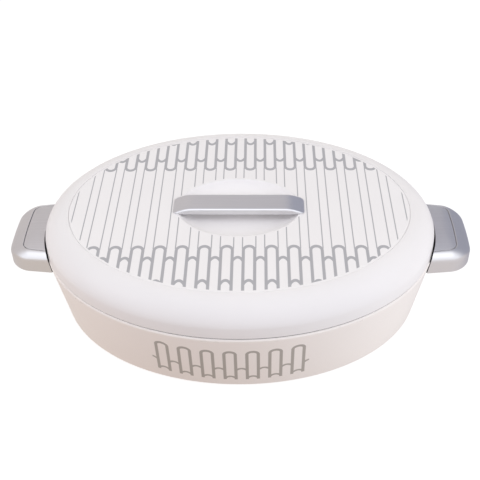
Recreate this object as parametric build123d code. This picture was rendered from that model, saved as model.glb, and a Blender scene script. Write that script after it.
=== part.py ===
from build123d import *
import math
import os

# Insulated oval hot pot with a lift-off lid. Millimetres, +Z up, +X along the oval, the feet stand on z = 0.

# Oval body
body_length = 360.0
body_width = 278.0
body_height = 70.0
base_inset = 12.0
foot_stand = 2.5
shell_wall = 2.5
shell_edge_radius = 1.5

# Rim collar and steel liner
collar_height = 6.0
collar_edge_radius = 2.5
collar_tongue_depth = 5.0
collar_tongue_wall = 2.0
mouth_inset = 17.0
lip_width = 6.0
lip_rebate = 2.0
liner_wall = 0.8
liner_lean = 9.0
liner_corner_radius = 14.0
floor_insulation = 12.0

# Base
base_thickness = 3.0
ledge_width = 13.0
ledge_thickness = 3.0
base_boss_diameter = 8.0
base_boss_height = 7.0
base_screw_count = 6
base_screw_diameter = 3.0
base_screw_length = 9.0
base_screw_head_diameter = 6.0
base_screw_head_height = 1.6
foot_diameter = 18.0
foot_pocket_depth = 1.5
foot_edge_radius = 0.8
foot_margin = 34.0
foot_angle = 42.0
plug_diameter = 16.0
plug_flange_diameter = 22.0
plug_flange_thickness = 1.4
plug_length = 8.0

# Side handles
handle_reach = 31.4
handle_rise = 4.0
handle_thickness = 20.5
handle_root_width = 84.0
handle_tip_width = 74.5
handle_tip_bow = 2.0
handle_corner_radius = 18.0
handle_roll_out = 13.0
handle_roll_side = 6.0
handle_roll_height = 8.5
handle_roll_steps = 3
handle_wall = 3.0
handle_deck = 5.0
handle_web = 8.0
handle_gap = 1.5
handle_root_depth = 14.0
inlay_thickness = 2.0
inlay_setback = 14.2
inlay_root_width = 74.0
inlay_tip_width = 62.0
inlay_tip_bow = 1.2
inlay_corner_radius = 6.0
inlay_groove = 0.5
lug_width = 56.0
lug_height = 8.0
lug_drop = 1.0
lug_inner = 10.0
lug_proud = 2.0
handle_screw_spacing = 40.0
handle_screw_diameter = 4.0
handle_screw_bite = 6.0
handle_screw_head_diameter = 7.5
handle_screw_head_height = 2.6

# Lid
seam_gap = 0.8
lid_height = 28.4
lid_wall = 2.5
skirt_height = 8.0
skirt_inset = 1.2
skirt_lean = 1.5
shoulder_rise = 7.6
shoulder_run = 13.4
shoulder_steps = 7
panel_inset = 25.0
panel_groove = 0.5
panel_thickness = 2.6
panel_edge_radius = 0.6
panel_ledge_width = 5.0
panel_ledge_thickness = 2.5
panel_ledge_cover = 4.0
stop_width = 3.0
stop_height = 2.5
seal_width = 4.5
seal_height = 3.2
seal_setback = 1.0
lid_liner_wall = 2.0
lid_plug_depth = 8.0

# Finger well and bar
well_length = 112.0
well_width = 83.5
well_depth = 9.4
well_floor_share = 0.2
well_power = 8
well_steps = 8
bar_length = 119.0
bar_top_length = 95.0
bar_width = 22.5
bar_rise = 5.5
bar_tip_height = 1.0
bar_sink = 0.6
bar_edge_radius = 1.2
bar_corner_radius = 4.0
post_spacing = 100.0
post_diameter = 8.0
post_depth = 8.0
bar_boss_diameter = 14.0
bar_boss_floor = 4.0
bar_screw_diameter = 4.0
bar_screw_bite = 7.0
bar_screw_head_diameter = 8.0
bar_screw_head_height = 3.0

# Fits and clearances
fit = 0.3
screw_fit = 0.1
hole_fit = 0.3
foam_gap = 0.4
plug_gap = 1.2
pocket_gap = 0.6
overrun = 1.0

# Derived places
half_length = body_length / 2
half_width = body_width / 2
base_z = foot_stand
seam_z = base_z + body_height
shell_top_z = seam_z - collar_height
base_top_z = base_z + base_thickness
ledge_top_z = base_top_z + ledge_thickness
liner_floor_z = base_top_z + floor_insulation
lip_seat_z = seam_z - lip_rebate
lip_top_z = lip_seat_z + liner_wall
seal_top_z = lip_top_z + seal_height
lid_flange_top_z = seal_top_z + lid_liner_wall
skirt_z = seam_z + seam_gap
shoulder_z = seam_z + skirt_height
lid_top_z = seam_z + lid_height
panel_seat_z = lid_top_z - panel_thickness
panel_ledge_z = panel_seat_z - panel_ledge_thickness
lid_plug_z = seam_z - lid_plug_depth
handle_top_z = seam_z + handle_rise
handle_bottom_z = handle_top_z - handle_thickness
lug_z = shell_top_z - lug_drop - lug_height / 2
lug_face_x = half_length + lug_proud
lug_back_x = half_length - lug_inner
post_floor_z = lid_top_z - post_depth
bar_boss_z = post_floor_z - bar_boss_floor


def oval(inset, z):
    """Oval face at height z, drawn in from the seam's outline by inset."""
    return Pos(0, 0, z) * Ellipse(half_length - inset, half_width - inset)


def oval_block(low_inset, low_z, high_inset, high_z):
    """Solid between two ovals, with straight sides."""
    return loft([oval(low_inset, low_z), oval(high_inset, high_z)], ruled=True)


def oval_ring(outer_inset, inner_inset, low_z, high_z):
    """Upright ring between two ovals."""
    outer = oval_block(outer_inset, low_z, outer_inset, high_z)
    return outer - oval_block(inner_inset, low_z - overrun, inner_inset, high_z + overrun)


def upright(x, y, low_z, high_z, diameter):
    """Upright cylinder from low_z to high_z."""
    return Pos(x, y, low_z) * extrude(Circle(diameter / 2), high_z - low_z)


def crosswise(low_x, high_x, y, z, diameter):
    """Cylinder along X from low_x to high_x."""
    return Pos(low_x, y, z) * Rot(0, 90, 0) * extrude(Circle(diameter / 2), high_x - low_x)


def wall_inset(z):
    """Inset of the body's outside at height z."""
    return base_inset * (seam_z - z) / body_height


def body_block(extra_inset, low_z, high_z):
    """Solid that follows the body's leaning wall, moved in by extra_inset."""
    return oval_block(wall_inset(low_z) + extra_inset, low_z, wall_inset(high_z) + extra_inset, high_z)


def liner_inset(z):
    """Inset of the liner's outside at height z."""
    return mouth_inset + liner_lean * (lip_seat_z - z) / (lip_seat_z - liner_floor_z)


def liner_block(extra_inset, low_z, high_z):
    """Solid that follows the liner's outside, moved in by extra_inset."""
    return oval_block(liner_inset(low_z) + extra_inset, low_z, liner_inset(high_z) + extra_inset, high_z)


def liner_bowl(extra_inset, floor_z, high_z, corner_radius):
    """Liner-shaped solid with its rounded bottom corner."""
    block = liner_block(extra_inset, floor_z, high_z)
    return fillet(block.edges().sort_by(Axis.Z)[0], corner_radius)


def round_places(inset, count, first_angle):
    """Places spread round an oval, by the angle of the oval's parameter."""
    places = []
    for step in range(count):
        angle = math.radians(first_angle + step * 360 / count)
        places.append(((half_length - inset) * math.cos(angle), (half_width - inset) * math.sin(angle)))
    return places


def base_screw_places():
    """Screws stand in the middle of the base ledge."""
    inset = wall_inset(base_top_z) + shell_wall + ledge_width / 2
    return round_places(inset, base_screw_count, 0)


def foot_places():
    """Feet in four corners of an oval, inside the base's edge."""
    x = (half_length - base_inset - foot_margin) * math.cos(math.radians(foot_angle))
    y = (half_width - base_inset - foot_margin) * math.sin(math.radians(foot_angle))
    return [(x, y), (-x, y), (-x, -y), (x, -y)]


def handle_screw_places():
    """Both screws of a handle, at lug height."""
    return [(-handle_screw_spacing / 2, lug_z), (handle_screw_spacing / 2, lug_z)]


def lug_box(low_x, high_x, extra):
    """Block that carries a handle, grown by extra sideways and in height."""
    width = lug_width + 2 * extra
    height = lug_height + 2 * extra
    return Pos((low_x + high_x) / 2, 0, lug_z) * Box(high_x - low_x, width, height)


def on_both_sides(part):
    """The same piece at the right and the left end of the oval."""
    return [part, Rot(0, 0, 180) * part]


def make_outer_shell():
    """Leaning wall with the base ledge, its screw bosses and the handle lugs."""
    outside = body_block(0, base_z, shell_top_z)
    outside = fillet(outside.edges().sort_by(Axis.Z)[0], shell_edge_radius)
    shell = outside - body_block(shell_wall, base_z - overrun, base_top_z)
    shell -= body_block(shell_wall, ledge_top_z, shell_top_z + overrun)
    ledge_hole = wall_inset(base_top_z) + shell_wall + ledge_width
    shell -= oval_block(ledge_hole, base_z, ledge_hole, ledge_top_z + overrun)
    for x, y in base_screw_places():
        shell += upright(x, y, ledge_top_z, ledge_top_z + base_boss_height, base_boss_diameter)
    for lug in on_both_sides(lug_box(lug_back_x, lug_face_x, 0)):
        shell += lug
    for x, y in base_screw_places():
        top_z = base_z + base_screw_head_height + base_screw_length + overrun
        shell -= upright(x, y, base_top_z - overrun, top_z, base_screw_diameter + 2 * screw_fit)
    for y, z in handle_screw_places():
        bore = handle_screw_diameter + 2 * hole_fit
        hole = crosswise(lug_back_x - overrun, lug_face_x + overrun, y, z, bore)
        for side_hole in on_both_sides(hole):
            shell -= side_hole
    return shell


def make_rim_collar():
    """Ring on top of the wall, with a tongue inside the wall and a step for the liner's lip."""
    collar = body_block(0, shell_top_z, seam_z)
    collar = fillet(collar.edges().sort_by(Axis.Z)[-1], collar_edge_radius)
    tongue_inset = wall_inset(shell_top_z - collar_tongue_depth) + shell_wall + fit
    collar += oval_ring(tongue_inset, tongue_inset + collar_tongue_wall,
                        shell_top_z - collar_tongue_depth, shell_top_z + overrun)
    for lug in on_both_sides(lug_box(lug_back_x, lug_face_x, lug_drop)):
        collar -= lug
    bore = mouth_inset - fit
    collar -= oval_block(bore, shell_top_z - overrun, bore, seam_z + overrun)
    step = mouth_inset - lip_width - fit
    collar -= oval_block(step, lip_seat_z, step, seam_z + overrun)
    return collar


def make_inner_liner():
    """Thin steel bowl with a flat lip."""
    bowl = liner_bowl(0, liner_floor_z, lip_top_z, liner_corner_radius)
    bowl += oval_block(mouth_inset - lip_width, lip_seat_z, mouth_inset - lip_width, lip_top_z)
    return bowl - liner_bowl(liner_wall, liner_floor_z + liner_wall, lip_top_z + overrun,
                             liner_corner_radius - liner_wall)


def make_body_insulation():
    """Foam between the wall, the base and the liner, clear of bosses, lugs and screws."""
    top_z = shell_top_z - collar_tongue_depth - foam_gap
    foam = body_block(shell_wall + foam_gap, ledge_top_z, top_z)
    core = wall_inset(base_top_z) + shell_wall + ledge_width + foam_gap
    foam += oval_block(core, base_top_z, core, ledge_top_z + overrun)
    foam -= liner_bowl(0, liner_floor_z, lip_top_z, liner_corner_radius)
    for x, y in base_screw_places():
        boss_top = ledge_top_z + base_boss_height + foam_gap
        foam -= upright(x, y, base_z, boss_top, base_boss_diameter + 2 * foam_gap)
    pocket_x = lug_back_x - handle_screw_head_height - pocket_gap
    for pocket in on_both_sides(lug_box(pocket_x, half_length, foam_gap)):
        foam -= pocket
    shaft_top = base_z + plug_length + foam_gap
    foam -= upright(0, 0, base_z, shaft_top, plug_diameter + 2 * foam_gap)
    return foam


def make_base_cover():
    """Plate that closes the wall from below, with pockets for screws, feet and plug."""
    cover = body_block(shell_wall + fit, base_z, base_top_z)
    for x, y in base_screw_places():
        cover -= upright(x, y, base_z - overrun, base_top_z + overrun, base_screw_diameter + 2 * hole_fit)
        head_top = base_z + base_screw_head_height
        cover -= upright(x, y, base_z - overrun, head_top, base_screw_head_diameter + 2 * hole_fit)
    for x, y in foot_places():
        cover -= upright(x, y, base_z - overrun, base_z + foot_pocket_depth, foot_diameter + 2 * screw_fit)
    cover -= upright(0, 0, base_z - overrun, base_top_z + overrun, plug_diameter + 2 * screw_fit)
    flange_top = base_z + plug_flange_thickness
    cover -= upright(0, 0, base_z - overrun, flange_top, plug_flange_diameter + 2 * screw_fit)
    return cover


def make_base_screws():
    """Flat-headed screws through the base cover into the bosses."""
    screws = Part()
    for x, y in base_screw_places():
        head_top = base_z + base_screw_head_height
        screw = upright(x, y, base_z, head_top, base_screw_head_diameter)
        screws += screw + upright(x, y, head_top, head_top + base_screw_length, base_screw_diameter)
    return screws


def make_foam_fill_plug():
    """Round plug in the middle of the base."""
    flange_top = base_z + plug_flange_thickness
    plug = upright(0, 0, base_z, flange_top, plug_flange_diameter)
    return plug + upright(0, 0, flange_top, base_z + plug_length, plug_diameter)


def make_rubber_feet():
    """Round feet, let into the base cover."""
    feet = Part()
    for x, y in foot_places():
        foot = upright(x, y, 0, base_z + foot_pocket_depth, foot_diameter)
        feet += fillet(foot.edges().sort_by(Axis.Z)[0], foot_edge_radius)
    return feet


def tongue(tip_x, root, tip, bow, corner_radius):
    """Tapered plan with a bowed outer end and round outer corners; root and tip are half widths."""
    root_x = half_length - handle_root_depth
    corner_x = tip_x - bow
    sides = Polyline((corner_x, tip), (root_x, root), (root_x, -root), (corner_x, -tip))
    end = ThreePointArc((corner_x, -tip), (tip_x, 0), (corner_x, tip))
    outline = make_face(sides + end)
    return fillet(outline.vertices().group_by(Axis.X)[-1], corner_radius)


def handle_outline(inset_out, inset_side, z):
    """Plan of the right handle at height z, drawn in at its outer end and at its sides."""
    tip_x = half_length + handle_reach - inset_out
    root = handle_root_width / 2 - inset_side
    tip = handle_tip_width / 2 - inset_side
    return Pos(0, 0, z) * tongue(tip_x, root, tip, handle_tip_bow, handle_corner_radius - inset_side)


def inlay_outline(extra):
    """Plan of the right handle's inlay, grown by extra."""
    tip_x = half_length + handle_reach - inlay_setback + extra
    root = inlay_root_width / 2 + extra
    tip = inlay_tip_width / 2 + extra
    return tongue(tip_x, root, tip, inlay_tip_bow, inlay_corner_radius + extra)


def pot_keepout():
    """Space of the body and the lid, grown by the shadow gap round the handles."""
    low_z = handle_bottom_z - overrun
    block = body_block(-handle_gap, low_z, seam_z)
    return block + oval_block(-handle_gap, seam_z, -handle_gap, handle_top_z + overrun)


def make_handle_shell():
    """Right handle: a rounded shell with a sunk deck for the inlay and a finger pocket below."""
    roll_z = handle_top_z - handle_roll_height
    lower = extrude(handle_outline(0, 0, handle_bottom_z), roll_z - handle_bottom_z)
    sections = []
    for step in range(handle_roll_steps + 1):
        angle = math.pi / 2 * step / handle_roll_steps
        inset = 1 - math.cos(angle)
        height = roll_z + handle_roll_height * math.sin(angle)
        sections.append(handle_outline(handle_roll_out * inset, handle_roll_side * inset, height))
    shell = lower + loft(sections)
    shell -= pot_keepout()
    deck_z = handle_top_z - inlay_thickness
    shell -= Pos(0, 0, deck_z) * extrude(inlay_outline(inlay_groove), inlay_thickness + overrun)
    pocket_top_z = deck_z - handle_deck
    pocket = extrude(handle_outline(handle_wall, handle_wall, handle_bottom_z - overrun),
                     pocket_top_z - handle_bottom_z + overrun)
    web_x = lug_face_x + handle_web
    shell -= pocket & (Pos(web_x + body_width / 2, 0, lug_z) * Box(body_width, body_width, body_height))
    shell -= lug_box(lug_back_x, lug_face_x, fit)
    for y, z in handle_screw_places():
        end_x = lug_face_x + handle_screw_bite + overrun
        shell -= crosswise(lug_face_x - overrun, end_x, y, z, handle_screw_diameter + 2 * screw_fit)
    return shell


def make_handle_inlay():
    """Flat panel that lies on the right handle's deck."""
    inlay = Pos(0, 0, handle_top_z - inlay_thickness) * extrude(inlay_outline(0), inlay_thickness)
    return inlay - pot_keepout()


def make_handle_screws():
    """Screws from inside the wall into the right handle's web."""
    screws = Part()
    for y, z in handle_screw_places():
        head = crosswise(lug_back_x - handle_screw_head_height, lug_back_x, y, z, handle_screw_head_diameter)
        screws += head + crosswise(lug_back_x, lug_face_x + handle_screw_bite, y, z, handle_screw_diameter)
    return screws


def shoulder_points(offset):
    """Inset and height along the lid's shoulder, a cubic curve, moved inwards by offset."""
    corners = [(skirt_lean, shoulder_z), (skirt_lean, shoulder_z + shoulder_rise),
               (panel_inset - shoulder_run, lid_top_z), (panel_inset, lid_top_z)]
    points = []
    for step in range(shoulder_steps + 1):
        t = step / shoulder_steps
        place = [(1 - t) ** 3, 3 * t * (1 - t) ** 2, 3 * t ** 2 * (1 - t), t ** 3]
        slope = [-(1 - t) ** 2, (1 - t) * (1 - 3 * t), t * (2 - 3 * t), t ** 2]
        inset, z = (sum(w * c[axis] for w, c in zip(place, corners)) for axis in (0, 1))
        run, rise = (sum(w * c[axis] for w, c in zip(slope, corners)) for axis in (0, 1))
        length = math.hypot(run, rise)
        points.append((inset + offset * rise / length, z - offset * run / length))
    return points


def lid_block(offset, low_z):
    """Solid inside the lid's outer surface, moved inwards by offset."""
    sections = [oval(inset, z) for inset, z in shoulder_points(offset)]
    return oval_block(skirt_inset + offset, low_z, skirt_lean + offset, shoulder_z) + loft(sections)


def make_lid_cover():
    """Skirt and shoulder with a ledge for the top panel and a stop for the lid's liner."""
    outside = lid_block(0, skirt_z)
    cover = outside - lid_block(lid_wall, skirt_z - overrun)
    ledge = oval_ring(panel_inset - panel_ledge_cover, panel_inset + panel_ledge_width,
                      panel_ledge_z, lid_top_z + overrun)
    stop = oval_ring(skirt_lean, skirt_lean + lid_wall + stop_width,
                     lid_flange_top_z, lid_flange_top_z + stop_height)
    cover += (ledge & outside) + (stop & outside)
    cover -= oval_block(panel_inset, panel_seat_z, panel_inset, lid_top_z + overrun)
    return cover


def well_block(grow):
    """Solid of the dished finger well, grown by grow; its floor rises with a power of the radius."""
    sections = [Pos(0, 0, lid_top_z + overrun) * Ellipse(well_length / 2 + grow, well_width / 2 + grow)]
    for step in range(well_steps + 1):
        share = 1 - (1 - well_floor_share) * step / well_steps
        depth = well_depth * (1 - share ** well_power) / (1 - well_floor_share ** well_power)
        outline = Ellipse(well_length / 2 * share + grow, well_width / 2 * share + grow)
        sections.append(Pos(0, 0, lid_top_z - depth - grow) * outline)
    rim = loft(sections[:2], ruled=True)
    return rim + loft(sections[1:])


def post_places():
    """Places of the bar's posts along X."""
    return [-post_spacing / 2, post_spacing / 2]


def make_lid_top_panel():
    """Flat panel with the finger well and two bosses for the bar's posts."""
    edge = panel_inset + panel_groove
    panel = oval_block(edge, panel_seat_z, edge, lid_top_z)
    panel = fillet(panel.edges().sort_by(Axis.Z)[-1], panel_edge_radius)
    below = oval_block(edge, bar_boss_z - well_depth, edge, lid_top_z)
    panel += well_block(panel_thickness) & below
    for x in post_places():
        panel += upright(x, 0, bar_boss_z, panel_seat_z + overrun, bar_boss_diameter) & below
    panel -= well_block(0)
    for x in post_places():
        panel -= upright(x, 0, post_floor_z, lid_top_z + overrun, post_diameter + 2 * fit)
        panel -= upright(x, 0, bar_boss_z - overrun, lid_top_z, bar_screw_diameter + 2 * hole_fit)
    return panel


def make_lid_handle_bar():
    """Bar over the well: flat top, sloped ends that lie on the panel, a keel in the well and two posts."""
    top_z = lid_top_z + bar_rise
    tip_z = lid_top_z + bar_tip_height
    half_tip = bar_length / 2
    half_top = bar_top_length / 2
    side = make_face(Plane.XZ * Polyline(
        (-half_tip, lid_top_z), (half_tip, lid_top_z), (half_tip, tip_z),
        (half_top, top_z), (-half_top, top_z), (-half_tip, tip_z), close=True))
    bar = extrude(side, bar_width / 2, both=True)
    bar = fillet(bar.edges().filter_by(Axis.Z), bar_corner_radius)
    top_edges = [edge for edge in bar.edges() if edge.center().Z > tip_z + bar_edge_radius]
    bar = fillet(top_edges, bar_edge_radius)
    keel = Pos(0, 0, lid_top_z - bar_sink / 2) * Box(bar_top_length, bar_width, bar_sink)
    bar += keel & well_block(-fit)
    for x in post_places():
        bar += upright(x, 0, post_floor_z, tip_z, post_diameter)
        hole_top = post_floor_z + bar_screw_bite + overrun
        bar -= upright(x, 0, post_floor_z - overrun, hole_top, bar_screw_diameter + 2 * screw_fit)
    return bar


def make_lid_handle_screws():
    """Screws from inside the lid into the bar's posts."""
    screws = Part()
    for x in post_places():
        head = upright(x, 0, bar_boss_z - bar_screw_head_height, bar_boss_z, bar_screw_head_diameter)
        screws += head + upright(x, 0, bar_boss_z, post_floor_z + bar_screw_bite, bar_screw_diameter)
    return screws


def lid_plug_inset(z):
    """Outside of the lid's plug, clear of the liner's inside."""
    return liner_inset(z) + liner_wall + plug_gap


def make_lid_liner():
    """Lining with a flange inside the skirt and a dished plug that goes into the pot's mouth."""
    rim = skirt_lean + lid_wall + fit
    liner = oval_block(rim, seal_top_z, rim, lid_flange_top_z)
    liner += oval_block(lid_plug_inset(lid_plug_z), lid_plug_z, lid_plug_inset(seal_top_z), seal_top_z)
    floor_z = lid_plug_z + lid_liner_wall
    hollow_low = lid_plug_inset(floor_z) + lid_liner_wall
    hollow_high = lid_plug_inset(lid_flange_top_z) + lid_liner_wall
    return liner - oval_block(hollow_low, floor_z, hollow_high, lid_flange_top_z)


def make_lid_seal():
    """Soft ring below the lid's flange, resting on the liner's lip."""
    outer = mouth_inset - seal_setback - seal_width
    return oval_ring(outer, mouth_inset - seal_setback, lip_top_z, seal_top_z)


def make_lid_insulation():
    """Foam in the lid's dish and dome, clear of the well, the bosses and the screws."""
    floor_z = lid_plug_z + lid_liner_wall
    low = lid_plug_inset(floor_z) + lid_liner_wall + foam_gap
    high = lid_plug_inset(lid_flange_top_z) + lid_liner_wall + foam_gap
    top_z = panel_ledge_z - foam_gap
    dome = lid_block(lid_wall + foam_gap, lid_flange_top_z)
    dome &= oval_block(0, lid_flange_top_z, 0, top_z)
    stop_inner = skirt_lean + lid_wall + stop_width + foam_gap
    stop_top = lid_flange_top_z + stop_height + foam_gap
    dome -= oval_ring(0, stop_inner, lid_flange_top_z - overrun, stop_top)
    foam = dome + oval_block(low, floor_z, high, lid_flange_top_z)
    foam -= well_block(panel_thickness + foam_gap)
    for x in post_places():
        screw_z = bar_boss_z - bar_screw_head_height - pocket_gap
        foam -= upright(x, 0, screw_z, lid_top_z, bar_boss_diameter + 2 * foam_gap)
    return foam


def main():
    """Write one STEP file for each piece."""
    pieces = {
        "outer_shell": make_outer_shell(),
        "rim_collar": make_rim_collar(),
        "inner_liner": make_inner_liner(),
        "body_insulation": make_body_insulation(),
        "base_cover": make_base_cover(),
        "base_screws": make_base_screws(),
        "foam_fill_plug": make_foam_fill_plug(),
        "rubber_feet": make_rubber_feet(),
        "lid_cover": make_lid_cover(),
        "lid_top_panel": make_lid_top_panel(),
        "lid_handle_bar": make_lid_handle_bar(),
        "lid_handle_screws": make_lid_handle_screws(),
        "lid_liner": make_lid_liner(),
        "lid_seal": make_lid_seal(),
        "lid_insulation": make_lid_insulation(),
    }
    side_pieces = {
        "handle_shell": make_handle_shell(),
        "handle_inlay": make_handle_inlay(),
        "handle_screws": make_handle_screws(),
    }
    for name, piece in side_pieces.items():
        for side, placed in zip(("right", "left"), on_both_sides(piece)):
            pieces[side + "_" + name] = placed
    os.makedirs("parts", exist_ok=True)
    for name, piece in pieces.items():
        export_step(piece, "parts/" + name + ".step")


main()
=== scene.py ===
"""Dressed model of an insulated oval hot pot: smooth surfaces, finishes, studio and camera.

Sizes are in millimetres and become metres when a piece is made. +X runs along the oval, +Z is up.
"""

import logging
import math
from collections.abc import Sequence
from dataclasses import asdict, dataclass, field, fields
from enum import Enum

import bmesh
import bpy
import numpy as np
from mathutils import Matrix, Vector


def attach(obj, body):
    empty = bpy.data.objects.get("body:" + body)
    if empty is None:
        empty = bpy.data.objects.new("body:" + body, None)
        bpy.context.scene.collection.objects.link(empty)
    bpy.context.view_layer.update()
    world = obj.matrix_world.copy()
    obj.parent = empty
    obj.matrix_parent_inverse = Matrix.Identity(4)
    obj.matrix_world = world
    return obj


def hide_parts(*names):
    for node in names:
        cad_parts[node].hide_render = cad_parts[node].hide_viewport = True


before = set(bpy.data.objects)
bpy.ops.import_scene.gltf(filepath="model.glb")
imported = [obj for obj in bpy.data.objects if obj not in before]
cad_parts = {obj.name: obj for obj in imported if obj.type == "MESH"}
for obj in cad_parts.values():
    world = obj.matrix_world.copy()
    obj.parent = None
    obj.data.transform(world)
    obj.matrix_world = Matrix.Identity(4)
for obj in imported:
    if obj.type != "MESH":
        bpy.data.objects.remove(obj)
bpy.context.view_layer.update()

Values = np.ndarray
Colour = tuple[float, float, float]
Range = tuple[float, float]
Steps = tuple[tuple[float, float], ...]
Socket = bpy.types.NodeSocket

# One millimetre in metres, and how near two points are before they are one: in a mesh, in metres, and in an
# outline, in millimetres.
MM = 0.001
MERGE = 2e-6
SAME_POINT = 1e-6
# Points round the pot, least turn of a crease, and how far out a rounded corner pulls, as a share of its
# radius.
AROUND = 288
SHARP = math.radians(33)
CORNER_PULL = 0.45
WHITE_LIGHT = (1.0, 1.0, 1.0, 1.0)

log = logging.getLogger("hot_pot")


class Body(Enum):
    """Bodies of the frame that a piece can ride on."""

    POT = "pot"
    LID = "lid"


class Brushing(Enum):
    """How a metal is brushed."""

    NONE = "none"
    LENGTHWISE = "lengthwise"
    AROUND = "around"


class Print(Enum):
    """Which line print a moulding carries."""

    LID = "lid"
    WALL = "wall"


# Surfaces


@dataclass
class Sheet:
    """Grid of points, with the directions in which it closes on itself.

    Attributes:
        points: Array of rows by columns by 3, in millimetres.
        rows_close: Whether the last row joins the first.
    """

    points: Values
    rows_close: bool = False

    def quads(self) -> Values:
        """Corner numbers of every cell; columns always close.

        Returns:
            Rows of four point numbers, one row for each cell.
        """
        rows, cols = self.points.shape[:2]
        row = np.arange(rows if self.rows_close else rows - 1)[:, None] + np.zeros((1, cols), int)
        col = np.arange(cols)[None, :] + np.zeros_like(row)
        next_row = (row + 1) % rows
        next_col = (col + 1) % cols
        corners = [row * cols + col, next_row * cols + col, next_row * cols + next_col, row * cols + next_col]
        return np.stack(corners, axis=-1).reshape(-1, 4)


def rounded(corners: Values, radii: Values, steps: int = 7) -> Values:
    """Closed outline with each corner turned into a cubic curve near a circle's arc.

    With A and B at the radius before and after corner C, the curve is
    (1-s)^3 A + 3s(1-s)^2 A' + 3s^2(1-s) B' + s^3 B, where A' and B' lie CORNER_PULL of the way out from C.

    Args:
        corners: Corner points, n by 2.
        radii: Radius at each corner; 0 keeps the corner sharp.
        steps: Points for each corner.

    Returns:
        The outline's points, without doubles.
    """
    corners = np.asarray(corners, float)
    before = np.roll(corners, 1, axis=0) - corners
    after = np.roll(corners, -1, axis=0) - corners
    radius = np.asarray(radii, float)[:, None]
    a = before / np.linalg.norm(before, axis=1, keepdims=True) * radius
    b = after / np.linalg.norm(after, axis=1, keepdims=True) * radius
    s = np.linspace(0, 1, steps)[None, :, None]
    pull = a[:, None] * ((1 - s) ** 3 + 3 * CORNER_PULL * s * (1 - s) ** 2)
    push = b[:, None] * (s ** 3 + 3 * CORNER_PULL * s ** 2 * (1 - s))
    line = (corners[:, None] + pull + push).reshape(-1, 2)
    keep = np.linalg.norm(line - np.roll(line, 1, axis=0), axis=1) > SAME_POINT
    return line[keep]


def resampled(line: Values, count: int) -> Values:
    """Open line with count points at even steps of its length.

    Args:
        line: Points of the line, one in each row.
        count: Number of points wanted.

    Returns:
        The new points.
    """
    steps = np.linalg.norm(np.diff(line, axis=0), axis=1)
    run = np.concatenate([[0.0], np.cumsum(steps)])
    places = np.linspace(0, run[-1], count)
    return np.stack([np.interp(places, run, line[:, axis]) for axis in range(line.shape[1])], axis=1)


def skin(rings: Sequence[Values]) -> Sheet:
    """Closed surface over a stack of rings; both ends are drawn together to their middle.

    Args:
        rings: Rings from one end to the other, each n by 3.

    Returns:
        The surface.
    """
    first = np.broadcast_to(rings[0].mean(axis=0), rings[0].shape)
    last = np.broadcast_to(rings[-1].mean(axis=0), rings[-1].shape)
    return Sheet(np.stack([first, *rings, last]))


def at_height(outline: Values, z: float | Values) -> Values:
    """Plan outline lifted to height z."""
    return np.column_stack([outline, np.broadcast_to(z, len(outline))])


def make_piece(
    name: str, sheets: Sequence[Sheet], body: Body, replaces: Sequence[str] = ()
) -> bpy.types.Object:
    """Puts sheets into one mesh that rides on a body.

    Args:
        name: Name of the piece.
        sheets: Closed surfaces, in millimetres.
        body: Body that carries the piece.
        replaces: Nodes that the piece stands for.

    Returns:
        The new object, smooth with sharp creases.
    """
    sizes = [sheet.points.shape[0] * sheet.points.shape[1] for sheet in sheets]
    starts = np.cumsum([0, *sizes[:-1]])
    points = np.concatenate([sheet.points.reshape(-1, 3) for sheet in sheets]) * MM
    faces = np.concatenate([sheet.quads() + start for sheet, start in zip(sheets, starts)])
    mesh = bpy.data.meshes.new(name)
    mesh.from_pydata(points.tolist(), [], faces.tolist())
    work = bmesh.new()
    work.from_mesh(mesh)
    bmesh.ops.remove_doubles(work, verts=work.verts, dist=MERGE)
    bmesh.ops.recalc_face_normals(work, faces=work.faces)
    work.to_mesh(mesh)
    work.free()
    mesh.polygons.foreach_set("use_smooth", np.ones(len(mesh.polygons), bool))
    mesh.set_sharp_from_angle(angle=SHARP)
    piece = bpy.data.objects.new(name, mesh)
    bpy.context.scene.collection.objects.link(piece)
    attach(piece, body.value)
    if replaces:
        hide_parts(*replaces)
    log.info("%s: %d faces on %s", name, len(mesh.polygons), body.value)
    return piece


# Finishes


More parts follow.
